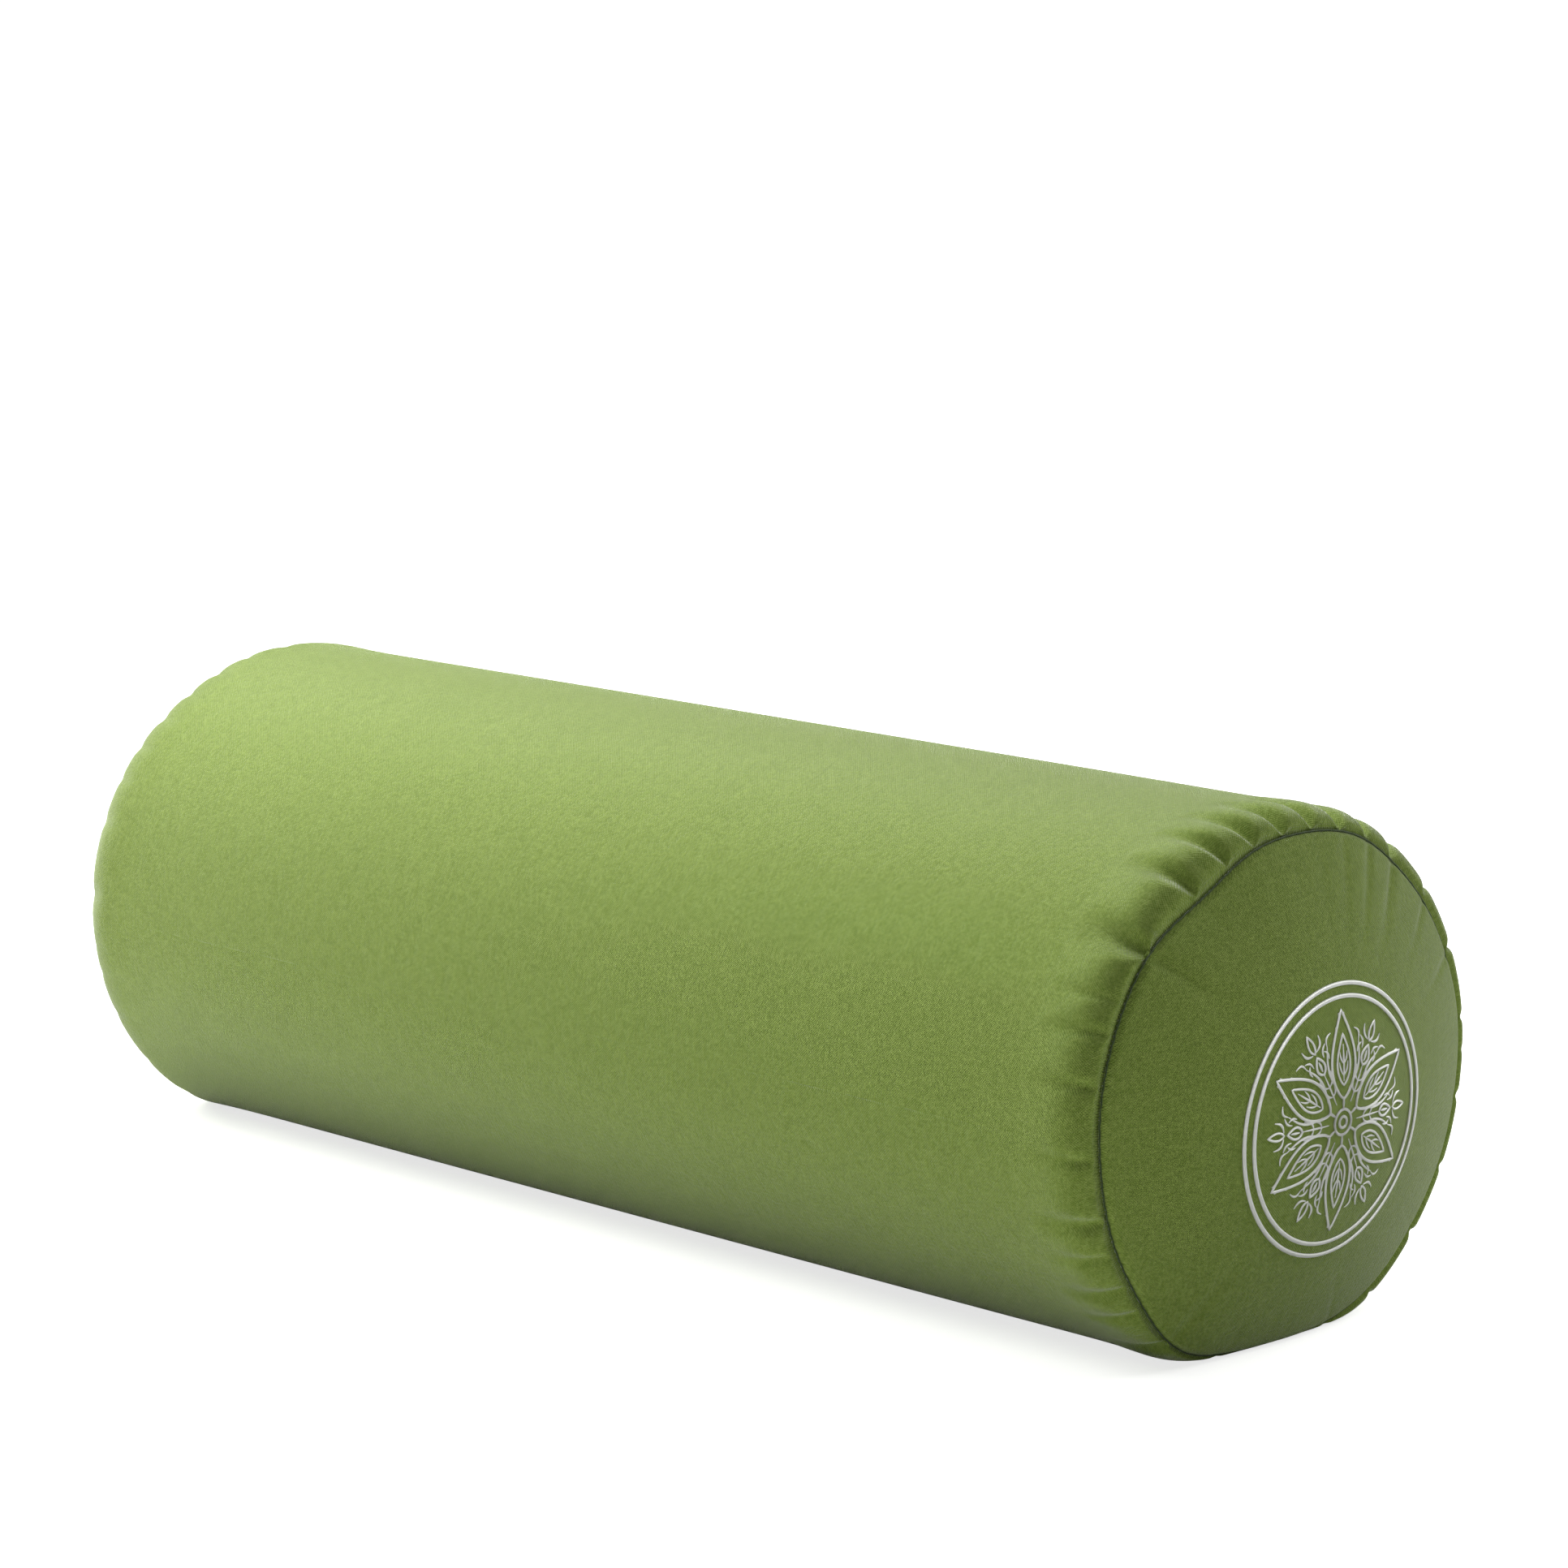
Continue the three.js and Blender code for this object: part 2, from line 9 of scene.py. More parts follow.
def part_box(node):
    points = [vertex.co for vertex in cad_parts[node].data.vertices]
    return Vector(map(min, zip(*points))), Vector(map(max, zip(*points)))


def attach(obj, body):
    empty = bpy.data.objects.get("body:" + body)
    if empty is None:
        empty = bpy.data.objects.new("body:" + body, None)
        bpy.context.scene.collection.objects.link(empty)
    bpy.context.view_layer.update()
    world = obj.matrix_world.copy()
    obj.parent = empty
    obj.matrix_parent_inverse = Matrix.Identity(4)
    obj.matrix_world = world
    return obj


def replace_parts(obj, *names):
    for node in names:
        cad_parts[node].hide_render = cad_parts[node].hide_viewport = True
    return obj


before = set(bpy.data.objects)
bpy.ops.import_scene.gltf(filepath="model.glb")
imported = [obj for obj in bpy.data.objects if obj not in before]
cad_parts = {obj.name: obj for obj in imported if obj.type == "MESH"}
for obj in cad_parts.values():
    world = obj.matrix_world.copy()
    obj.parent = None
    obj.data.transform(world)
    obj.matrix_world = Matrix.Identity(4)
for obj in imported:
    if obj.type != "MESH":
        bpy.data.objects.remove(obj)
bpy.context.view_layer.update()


# The camera looks down a little on the embroidered end with a long lens. The floor is a
# plain white sheet. Two soft boxes above the plain end and a wide window behind light the
# cushion, in a room that is otherwise nearly dark.
AXIS = 0.098  # the height of the bolster's axis when it lies on the floor
CAMERA_TURN, CAMERA_RISE, CAMERA_AWAY = math.radians(45.94), math.radians(12.11), 2.1407
camera_back = Vector(
    (
        math.sin(CAMERA_TURN) * math.cos(CAMERA_RISE),
        -math.cos(CAMERA_TURN) * math.cos(CAMERA_RISE),
        math.sin(CAMERA_RISE),
    )
)
camera = bpy.data.objects.new("camera", bpy.data.cameras.new("camera"))
bpy.context.scene.collection.objects.link(camera)
camera.data.sensor_width = 36
camera.data.lens = 116.1
camera.data.shift_x, camera.data.shift_y = 0.0319, 0.1218
camera.location = Vector((0, 0, AXIS)) + camera_back * CAMERA_AWAY
camera.rotation_euler = camera_back.to_track_quat("Z", "Y").to_euler()
bpy.context.scene.camera = camera
bpy.context.scene.view_settings.view_transform = "Standard"


def add(tree, kind, settings=None, **values):
    """A node of the kind, with its settings and the values of its sockets; a link is a socket."""
    made = tree.nodes.new("ShaderNode" + kind)
    for key, value in (settings or {}).items():
        setattr(made, key, value)
    for key, value in values.items():
        socket = made.inputs[int(key[1:]) if key[1:].isdigit() else key.replace("_", " ")]
        if isinstance(value, bpy.types.NodeSocket):
            tree.links.new(value, socket)
        else:
            socket.default_value = value
    return made


def finish_of(name, roughness, **fixed):
    """A new material with a Principled shader: the material, its tree and its shader."""
    made = bpy.data.materials.new(name)
    made.use_nodes = True
    shader = made.node_tree.nodes["Principled BSDF"]
    shader.inputs["Roughness"].default_value = roughness
    for key, value in fixed.items():
        shader.inputs[key.replace("_", " ")].default_value = value
    return made, made.node_tree, shader


WHITE = (1, 1, 1, 1)
WALLS_IN_GLOSS, WALLS_ON_CLOTH = 0.6, 0.03  # how bright the room's white walls are
world = bpy.data.worlds.new("studio")
bpy.context.scene.world = world
world.use_nodes = True
room = world.node_tree
room_rays = add(room, "LightPath").outputs
walls = add(
    room, "Math", {"operation": "MULTIPLY_ADD"},
    _0=room_rays["Is Glossy Ray"], _1=WALLS_IN_GLOSS, _2=WALLS_ON_CLOTH,
)
room_light = add(room, "Background", Color=WHITE, Strength=walls.outputs[0])
room_seen = add(room, "Background", Color=WHITE)
room_pick = add(
    room, "MixShader", _0=room_rays["Is Camera Ray"], _1=room_light.outputs[0], _2=room_seen.outputs[0]
)
room.links.new(room_pick.outputs[0], room.nodes["World Output"].inputs["Surface"])

BOX_WIDE = 0.9
for name, place, watts in (
    ("box_above", (-1.15, 0.15, 1.5), 44.0),
    ("box_beside", (-1.2, -0.8, 1.3), 23.0),
):
    lamp = bpy.data.objects.new(name, bpy.data.lights.new(name, "AREA"))
    bpy.context.scene.collection.objects.link(lamp)
    lamp.data.size = BOX_WIDE
    lamp.data.energy = watts
    lamp.location = place
    lamp.rotation_euler = (Vector(place) - Vector((0, 0, AXIS))).to_track_quat("Z", "Y").to_euler()
window = bpy.data.objects.new("window_behind", bpy.data.lights.new("window_behind", "SUN"))
bpy.context.scene.collection.objects.link(window)
window.data.angle = math.radians(50)
window.data.energy = 1.8
window.rotation_euler = Vector((0.28, 0.9, 0.85)).to_track_quat("Z", "Y").to_euler()

FLOOR_HALF = 30
FLOOR_GLOW = (0.75, 0.75, 0.75, 1)  # the sheet is lit from below too, so that it looks white
floor_paint, tree, shader = finish_of("floor_white", 0.9, Base_Color=(0.8, 0.8, 0.8, 1))
shader.inputs["Specular IOR Level"].default_value = 0.1
floor_rays = add(tree, "LightPath").outputs
glow = add(tree, "Emission", Color=FLOOR_GLOW, Strength=floor_rays["Is Camera Ray"])
lit = add(tree, "AddShader", _0=shader.outputs[0], _1=glow.outputs[0])
tree.links.new(lit.outputs[0], tree.nodes["Material Output"].inputs["Surface"])
floor_bm = bmesh.new()
bmesh.ops.create_grid(floor_bm, x_segments=1, y_segments=1, size=FLOOR_HALF)
floor_mesh = bpy.data.meshes.new("floor")
floor_bm.to_mesh(floor_mesh)
floor_bm.free()
floor_mesh.materials.append(floor_paint)
floor = bpy.data.objects.new("floor", floor_mesh)
bpy.context.scene.collection.objects.link(floor)


# The core is a cylinder of firm polyurethane foam, cut from a block and dropped into the
# wadding. Its cut faces show open cells, and its rims are worn round by handling.
def coloured(tree, shader, factor, dark, light):
    """Colours a finish from dark to light as the factor goes from 0 to 1."""
    mix = add(tree, "Mix", {"data_type": "RGBA"}, _0=factor, _6=(*dark, 1), _7=(*light, 1))
    tree.links.new(mix.outputs[2], shader.inputs["Base Color"])


def raised(tree, shader, height, metres, strength=1.0):
    """Raises a finish's surface by a height of 0 to 1 that stands for so many metres."""
    bump = add(tree, "Bump", Strength=strength, Distance=metres, Height=height)
    tree.links.new(bump.outputs["Normal"], shader.inputs["Normal"])


def settle(places, node):
    """Lets a round soft thing sink: wider, flat below and flat behind, as its CAD solid is."""
    low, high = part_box(node)
    widen = -low.y / (high.z - AXIS)
    y, z = places[:, 1] * widen, places[:, 2] + AXIS
    soft_floor, soft_back = 0.004, 0.0012  # how gently each flat begins
    z = 0.5 * (z + low.z + np.sqrt((z - low.z) ** 2 + soft_floor**2))
    y = 0.5 * (y + high.y - np.sqrt((y - high.y) ** 2 + soft_back**2))
    return np.stack([places[:, 0], y, z], 1)


def places_of(mesh):
    """The places of a mesh's points, one row each."""
    places = np.zeros(len(mesh.vertices) * 3)
    mesh.vertices.foreach_get("co", places)
    return places.reshape(-1, 3)


def piece(bm, name, finish, body="cushion"):
    """The bmesh as a smooth shaded piece of the object that rides on a body."""
    mesh = bpy.data.meshes.new(name)
    bm.to_mesh(mesh)
    bm.free()
    mesh.polygons.foreach_set("use_smooth", [True] * len(mesh.polygons))
    mesh.materials.append(finish)
    made = bpy.data.objects.new(name, mesh)
    bpy.context.scene.collection.objects.link(made)
    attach(made, body)
    return made


def turned(profile, steps):
    """A closed or open profile of (x, radius) points, spun once about the X axis."""
    bm = bmesh.new()
    points = [bm.verts.new((x, radius, 0)) for x, radius in profile]
    lines = [bm.edges.new(pair) for pair in zip(points, points[1:])]
    bmesh.ops.spin(
        bm, geom=points + lines, cent=(0, 0, 0), axis=(1, 0, 0), dvec=(0, 0, 0),
        angle=2 * math.pi, steps=steps, use_merge=True,
    )
    bmesh.ops.remove_doubles(bm, verts=bm.verts, dist=1e-6)
    bmesh.ops.recalc_face_normals(bm, faces=bm.faces)
    return bm


def lay(made, node, lumps=0.0, seed=0):
    """Lumps a round piece a little, settles it, and lets it stand for its CAD node."""
    places = places_of(made.data)
    turn = np.arctan2(places[:, 2], places[:, 1])
    draw = np.random.default_rng(seed)
    swell = np.zeros(len(places))
    for _ in range(7):
        around, along = draw.integers(1, 9), draw.uniform(-40, 40)
        swell += np.sin(around * turn + along * places[:, 0] + draw.uniform(0, 6.3))
    places[:, 1:] *= 1 + lumps / 0.1 * swell[:, None] / 7
    made.data.vertices.foreach_set("co", settle(places, node).ravel())
    made.data.update()
    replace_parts(made, node)


SEAM_X = 0.303  # the end seams, from the middle of the bolster
FOLD_REACH = 0.050  # the longest gathers of the cover reach this far from the end seams
FOLD_DEPTH = 0.0095  # and sink this far at the seam


def pressed(x):
    """How much the filling gives way under the gathers, at a distance x from the middle."""
    inside = np.clip((SEAM_X - np.abs(x)) / FOLD_REACH, 0, 1)
    return FOLD_DEPTH * (1 - np.sqrt(1 - (1 - inside) ** 2))


foam_finish, tree, shader = finish_of("foam_cells", 0.9, Sheen_Weight=0.1, Subsurface_Weight=0.1)
shader.inputs["Subsurface Radius"].default_value = (0.01, 0.008, 0.004)
where = add(tree, "TexCoord").outputs["Object"]
cells = add(tree, "TexVoronoi", {"feature": "DISTANCE_TO_EDGE"}, Vector=where, Scale=1400.0)
clouds = add(tree, "TexNoise", Vector=where, Scale=18.0, Detail=3.0)
coloured(tree, shader, clouds.outputs["Fac"], (0.70, 0.62, 0.36), (0.85, 0.81, 0.58))
raised(tree, shader, cells.outputs["Distance"], 0.0006, 0.8)

FOAM_ROOM, FOAM_RIM = 0.001, 0.007  # room for its lumps, and how round its rims are worn
foam_low, foam_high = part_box("foam_core")
foam_radius = foam_high.z - AXIS - FOAM_ROOM
foam_bm = bmesh.new()
bmesh.ops.create_cone(
    foam_bm, cap_ends=True, segments=96, depth=foam_high.x - foam_low.x,
    radius1=foam_radius, radius2=foam_radius, matrix=Matrix.Rotation(math.pi / 2, 4, "Y"),
)
rims = [e for e in foam_bm.edges if e.is_manifold and e.calc_face_angle() > 1]
bmesh.ops.bevel(
    foam_bm, geom=rims, offset=FOAM_RIM, offset_type="OFFSET", segments=4, profile=0.5,
    affect="EDGES", material=-1,
)
lengthwise = [e for e in foam_bm.edges if e.calc_length() > 0.4]
bmesh.ops.subdivide_edges(foam_bm, edges=lengthwise, cuts=30, use_grid_fill=True)
foam = piece(foam_bm, "foam_core_block", foam_finish)
lay(foam, "foam_core", lumps=0.0004, seed=1)


# Soft polyester wadding is wrapped once round the foam and overlaps along one line. It has
# no woven surface, only matted fibres, and it gives way where the cover is gathered.
wadding_finish, tree, shader = finish_of("wadding_fibres", 1.0, Sheen_Weight=0.5, Sheen_Roughness=0.6)
where = add(tree, "TexCoord").outputs["Object"]
tufts = add(tree, "TexNoise", Vector=where, Scale=160.0, Detail=6.0, Roughness=0.7)
fibres = add(tree, "TexNoise", Vector=where, Scale=2200.0, Detail=2.0, Distortion=3.0)
both = add(
    tree, "Math", {"operation": "MULTIPLY_ADD"},
    _0=tufts.outputs["Fac"], _1=3.0, _2=fibres.outputs["Fac"],
)
coloured(tree, shader, tufts.outputs["Fac"], (0.84, 0.83, 0.78), (0.95, 0.95, 0.92))
raised(tree, shader, both.outputs[0], 0.0008, 0.8)

WRAP_ROOM, WRAP_CLEAR = 0.0012, 0.0004  # room for its lumps, and from the foam
WRAP_RIM_OUT, WRAP_RIM_DOWN = 0.0003, 0.002  # how its cut ends bulge
wrap_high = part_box("wadding_wrap")[1]
wrap_over, wrap_under = wrap_high.z - AXIS - WRAP_ROOM, foam_high.z - AXIS + WRAP_CLEAR
wrap_at = np.linspace(-wrap_high.x + 0.0005, wrap_high.x - 0.0005, 71)
first, last = wrap_at[0], wrap_at[-1]
wrap_profile = (
    [(first, wrap_under)]
    + [(first - WRAP_RIM_OUT, wrap_over - pressed(first) - WRAP_RIM_DOWN)]
    + [(x, wrap_over - pressed(x)) for x in wrap_at]
    + [(last + WRAP_RIM_OUT, wrap_over - pressed(last) - WRAP_RIM_DOWN)]
    + [(last, wrap_under), (first, wrap_under)]
)
wrap = piece(turned(wrap_profile, 128), "wadding_wrap_layer", wadding_finish)
lay(wrap, "wadding_wrap", lumps=0.0006, seed=2)


# A round pad of the same wadding fills the dome at each end, between the foam's cut face
# and the case. It is thickest in the middle and thins out to a soft rim.
DOME_RADIUS = 0.2406  # the ball that the end panels are part of
DOME_CENTRE = 0.0844  # how far along the axis that ball's centre is


def dome(radius, under=0.0):
    """How far from the middle the end dome is at a radius, or a surface so far under it."""
    return DOME_CENTRE + np.sqrt((DOME_RADIUS - under) ** 2 - np.asarray(radius) ** 2)


for end, side in (("front", 1), ("rear", -1)):
    low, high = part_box("wadding_pad_" + end)
    flat_face = min(abs(low.x), abs(high.x))
    crown = max(abs(low.x), abs(high.x))
    under = DOME_CENTRE + DOME_RADIUS - crown + 0.0004
    reach = math.sqrt((DOME_RADIUS - under) ** 2 - (flat_face + 0.004 - DOME_CENTRE) ** 2)
    rim = min(high.z - AXIS - 0.008, reach)
    radii = rim * np.sqrt(np.linspace(1, 0, 24))
    profile = [(flat_face, 0.0)] + [(flat_face, rim * k / 8) for k in range(1, 8)]
    profile += [(flat_face, rim - 0.002), (flat_face + 0.001, rim), (flat_face + 0.003, rim)]
    profile += [(float(dome(r, under)), float(r)) for r in radii[1:]]
    profile = [(side * x, r) for x, r in profile]
    pad = piece(turned(profile, 96), "wadding_pad_%s_layer" % end, wadding_finish)
    lay(pad, "wadding_pad_" + end, lumps=0.0005, seed=3 + side)


# The inner case is a loose bag of thin unbleached cotton that holds the filling when the
# cover is off for washing: a tube, gathered to a round end at each side by a thread.
def weave(name):
    """The node group for a plain weave: cloth coordinates in metres and a thread pitch in;
    the height of the threads, a soft fleck mask and a fine grain mask out."""
    group = bpy.data.node_groups.new(name, "ShaderNodeTree")
    for label, kind, start in (
        ("Cloth", "NodeSocketVector", None),
        ("Threads", "NodeSocketFloat", 2000.0),
        ("Fleck", "NodeSocketFloat", 900.0),
        ("Slub", "NodeSocketFloat", 0.3),
    ):
        socket = group.interface.new_socket(name=label, in_out="INPUT", socket_type=kind)
        if start is not None:
            socket.default_value = start
    for label in ("Height", "Flecks", "Grain"):
        group.interface.new_socket(name=label, in_out="OUTPUT", socket_type="NodeSocketFloat")
    inside = group.nodes.new("NodeGroupInput").outputs
    result = group.nodes.new("NodeGroupOutput")
    drift = add(group, "TexNoise", Vector=inside["Cloth"], Scale=140.0, Detail=1.0)
    wobble = add(
        group, "VectorMath", {"operation": "SCALE"}, Vector=drift.outputs["Color"], Scale=0.0009
    )
    bent = add(group, "VectorMath", {"operation": "ADD"}, _0=inside["Cloth"], _1=wobble.outputs[0])
    axes = add(group, "SeparateXYZ", Vector=bent.outputs[0])
    ridges = []
    for axis in ("X", "Y"):
        turns = add(
            group, "Math", {"operation": "MULTIPLY"}, _0=axes.outputs[axis], _1=inside["Threads"]
        )
        half = add(group, "Math", {"operation": "MULTIPLY"}, _0=turns.outputs[0], _1=math.pi)
        wave = add(group, "Math", {"operation": "SINE"}, _0=half.outputs[0])
        ridges.append(wave.outputs[0])
    crossing = add(group, "Math", {"operation": "MULTIPLY"}, _0=ridges[0], _1=ridges[1])
    lift = add(group, "Math", {"operation": "MULTIPLY_ADD"}, _0=crossing.outputs[0], _1=0.5, _2=0.5)
    slubs = []
    for across, along in ((1.0, 0.28), (0.28, 1.0)):
        drawn_out = add(
            group, "VectorMath", {"operation": "MULTIPLY"}, _0=bent.outputs[0], _1=(across, along, 1)
        )
        slub = add(group, "TexNoise", Vector=drawn_out.outputs[0], Scale=inside["Fleck"], Detail=2.0)
        slubs.append(slub.outputs["Fac"])
    grain = add(group, "Math", {"operation": "ADD"}, _0=slubs[0], _1=slubs[1])
    grain = add(group, "Math", {"operation": "MULTIPLY"}, _0=grain.outputs[0], _1=0.5)
    flecks = add(
        group, "TexNoise", Vector=bent.outputs[0], Scale=inside["Fleck"], Detail=3.0, Roughness=0.6
    )
    height = add(
        group, "Math", {"operation": "MULTIPLY_ADD"},
        _0=grain.outputs[0], _1=inside["Slub"], _2=lift.outputs[0],
    )
    height = add(group, "Math", {"operation": "ADD"}, _0=height.outputs[0], _1=flecks.outputs["Fac"])
    group.links.new(height.outputs[0], result.inputs["Height"])
    group.links.new(flecks.outputs["Fac"], result.inputs["Flecks"])
    group.links.new(grain.outputs[0], result.inputs["Grain"])
    return group


def woven(tree, where, threads, fleck, slub):
    """The plain weave placed in a material: its height, fleck and grain sockets."""
    placed = tree.nodes.new("ShaderNodeGroup")
    placed.node_tree = plain_weave
    tree.links.new(where, placed.inputs["Cloth"])
    placed.inputs["Threads"].default_value = threads
    placed.inputs["Fleck"].default_value = fleck
    placed.inputs["Slub"].default_value = slub
    return placed.outputs["Height"], placed.outputs["Flecks"], placed.outputs["Grain"]


plain_weave = weave("plain_weave")
case_finish, tree, shader = finish_of("case_cotton", 0.95, Sheen_Weight=0.15)
where = add(tree, "TexCoord").outputs["UV"]
height, flecks, _ = woven(tree, where, 2600.0, 700.0, 0.8)
coloured(tree, shader, flecks, (0.72, 0.67, 0.55), (0.90, 0.87, 0.78))
raised(tree, shader, height, 0.00025)


def cloth_map(made, cut, around):
    """A UV map in metres of the flat cloth. A tube's is unrolled, with its join at the back."""
    mesh = made.data
    corners = np.zeros(len(mesh.loops), int)
    mesh.loops.foreach_get("vertex_index", corners)
    starts = np.zeros(len(mesh.polygons), int)
    mesh.polygons.foreach_get("loop_start", starts)
    if around:
        turn = np.arctan2(cut[:, 2], cut[:, 1])[corners]
        first = np.repeat(turn[starts], np.diff(np.append(starts, len(corners))))
        turn = first + (turn - first + math.pi) % (2 * math.pi) - math.pi
        flat = np.stack([turn * around, cut[corners, 0]], 1)
    else:
        flat = cut[corners, 1:]
    mesh.uv_layers.new(name="cloth").data.foreach_set("uv", flat.ravel())


CASE_CLOTH = 0.0006
CASE_ROOM = 0.0010  # from the cover, for the case's lumps
CASE_SHOULDER = 0.0075
case_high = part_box("inner_case_body")[1]
case_end_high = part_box("inner_case_end_front")[1]
case_radius = case_high.z - AXIS - 0.0004
case_seam = case_end_high.z - AXIS + 0.0008
case_seam_x = case_high.x - 0.0002
gather = [0, 0.0006, 0.0015, 0.003, 0.0045, 0.006, 0.009, 0.013, 0.018, 0.024, 0.03, 0.038, 0.05]
case_half = []
for inside in gather:
    round_in = 1 - math.sqrt(max(0.0, 1 - (1 - min(inside / CASE_SHOULDER, 1)) ** 2))
    full = case_radius - CASE_ROOM - float(pressed(case_seam_x - inside)) * 1.06
    case_half.append((case_seam_x - inside, full - round_in * (full - case_seam)))
case_half += [(x, case_radius - CASE_ROOM) for x in np.linspace(0.24, 0.0, 7)]
case_profile = case_half + [(-x, r) for x, r in reversed(case_half[:-1])]
case_body = piece(turned(case_profile, 192), "inner_case_tube", case_finish)
cloth_map(case_body, places_of(case_body.data), case_radius)
lay(case_body, "inner_case_body", lumps=0.0003, seed=7)
case_wall = case_body.modifiers.new("cloth", "SOLIDIFY")
case_wall.thickness, case_wall.offset = CASE_CLOTH, -1

for end, side in (("front", 1), ("rear", -1)):
    low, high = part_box("inner_case_end_" + end)
    rim_x, crown = sorted((abs(low.x), abs(high.x)))
    under = DOME_CENTRE + DOME_RADIUS - crown + 0.0002
    rim = high.z - AXIS - 0.0004
    radii = rim * np.sqrt(np.linspace(1, 0, 22))
    lift = rim_x + 0.0004 - float(dome(rim, under))  # the rim stands up to meet the tube
    profile = [(rim_x + 0.0003, rim - 0.006), (rim_x + 0.0003, rim - 0.001)]
    for r in radii:
        near_rim = max(0.0, 1 - (rim - r) / 0.012) ** 2
        profile.append((float(dome(r, under)) + lift * near_rim, float(r)))
    profile = [(side * x, r) for x, r in profile]
    case_end = piece(turned(profile, 128), "inner_case_round_" + end, case_finish)
    cloth_map(case_end, places_of(case_end.data), None)
    lay(case_end, "inner_case_end_" + end, lumps=0.0002, seed=9 + side)
    case_wall = case_end.modifiers.new("cloth", "SOLIDIFY")
    case_wall.thickness, case_wall.offset = CASE_CLOTH, -1


# White cotton thread closes the case: a gathering seam round each end, and a short seam
# along the back, sewn by hand when the filling is in.
def twisted_thread(name, dark, light):
    """A spun thread: strands wound round each other, with painted shade darkening the grooves between
    them.
    """
    made, tree, shader = finish_of(name, 0.75, Sheen_Weight=0.2)
    where = add(tree, "TexCoord").outputs["Object"]
    strand_relief_and_groove_shade = add(
        tree, "TexWave", {"bands_direction": "DIAGONAL"}, Vector=where, Scale=900.0, Distortion=1.5
    )
    # painted shade: the colour darkens where the strands' relief is low, in the grooves
    coloured(tree, shader, strand_relief_and_groove_shade.outputs["Fac"], dark, light)
    raised(tree, shader, strand_relief_and_groove_shade.outputs["Fac"], 0.0001)
    return made


case_thread = twisted_thread("case_thread", (0.62, 0.60, 0.54), (0.87, 0.84, 0.76))
for node in ("inner_case_end_seam_front", "inner_case_end_seam_rear", "inner_case_closing_seam"):
    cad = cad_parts[node]
    cad.data.materials.clear()
    cad.data.materials.append(case_thread)


# The cover's long panel is green brushed cotton, wrapped round the case as a tube. It is
# wider than the round ends it is sewn to, so it gathers into soft tucks at both end seams.
# At the back it opens along a zip, with a turned edge on each side.
cover_finish, tree, shader = finish_of(
    "cover_cotton", 0.95, Sheen_Weight=0.95, Sheen_Roughness=0.3, Sheen_Tint=(0.97, 1.0, 0.90, 1),
)
shader.inputs["Specular IOR Level"].default_value = 0.2
where = add(tree, "TexCoord").outputs["UV"]
height, flecks, grain = woven(tree, where, 1900.0, 950.0, 0.9)
mottle = add(tree, "TexNoise", Vector=where, Scale=40.0, Detail=2.0).outputs["Fac"]
nap = add(tree, "Math", {"operation": "MULTIPLY_ADD"}, _0=mottle, _1=0.06, _2=flecks)
nap = add(tree, "Math", {"operation": "MULTIPLY_ADD"}, _0=grain, _1=0.6, _2=nap.outputs[0])
nap = add(tree, "MapRange", _0=nap.outputs[0], _1=0.66, _2=1.06, _3=0.0, _4=1.0)
COVER_DARK, COVER_LIGHT = (0.191, 0.277, 0.045), (0.302, 0.403, 0.089)
coloured(tree, shader, nap.outputs[0], COVER_DARK, COVER_LIGHT)
raised(tree, shader, height, 0.00022, 0.9)

COVER_CLOTH = 0.0012  # the doubled cloth
cover_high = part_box("cover_body_panel")[1]
COVER_RADIUS = cover_high.z - AXIS
SEAM_RADIUS = COVER_RADIUS - FOLD_DEPTH
SHOULDER = 0.019  # how far the puffs between two tucks take to come down to the seam
# Each tuck: its angle round the end, the length of cloth it takes up and its reach, in mm,
# how far it leans sideways, in mm, and how strongly it runs on into the round panel.
TUCKS = (
    (55, 3.4, 50, 3, 0.9), (65, 2.2, 54, 6, 0.6), (74, 3.2, 62, 9, 0.3), (83, 2.6, 66, 10, 0.1),
    (92, 3.2, 64, 9, 0.1), (101, 2.8, 58, 7, 0.1), (110, 2.2, 48, 4, 0.1), (121, 3.4, 42, 0, 0.2),
    (139, 6.0, 48, -7, 1.4), (151, 0.8, 22, 0, 0.0), (158, 1.7, 28, 1, 0.1), (169, 1.7, 28, 0, 0.1),
    (184, 1.2, 26, 0, 0.0), (198, 3.2, 36, 0, 0.2), (206, 1.2, 26, 0, 0.0), (215, 2.0, 32, 1, 0.1),
    (222, 1.3, 28, 1, 0.0), (234, 3.4, 50, 2, 0.3), (251, 1.6, 36, 0, 0.1), (268, 1.4, 30, 1, 0.1),
    (285, 1.6, 36, 0, 0.3), (301, 0.9, 30, -1, 0.1), (318, 1.6, 34, 0, 0.3), (334, 0.8, 30, 1, 0.1),
    (350, 1.1, 28, 0, 0.2), (7, 0.8, 28, 1, 0.1), (24, 1.8, 38, 0, 0.6), (40, 1.6, 36, -2, 0.6),
)
REAR_STRENGTH = 0.13  # the plain end is gathered much more evenly
REAR_SHIFT = math.radians(37)  # the plain end's tucks lie further round
GAP = 0.00015  # from the seam to either cloth
CREASE, CREASE_WIDE = 0.0021, 0.0009  # the seam draws both cloths in
ALLOWANCE_STEPS = (0.002, 0.003, 0.003)  # the cloth turned in beyond the seam, row by row
PUFF, PUFF_AT = 0.0012, 0.011  # how far the cloth puffs out between tucks, and where
TUCK_DEPTH = 0.80  # a tuck's depth, as a share of the cloth it takes up
COLUMNS = 480
ROWS = [
    0, 0.7, 1.5, 2.5, 3.7, 5.1, 6.7, 8.5, 10.5, 12.8, 15.3, 18, 21, 24.5, 28.5, 32.6, 34.6, 35.6,
    37, 40, 45, 52, 61, 73, 90, 113, 143, 180, 220, 262,
]
EASE = 0.0036  # the cloth's way over the shoulder, beyond the straight distance
half_tube = SEAM_X - GAP + EASE
row_at = [-(half_tube - row / 1000) for row in ROWS]
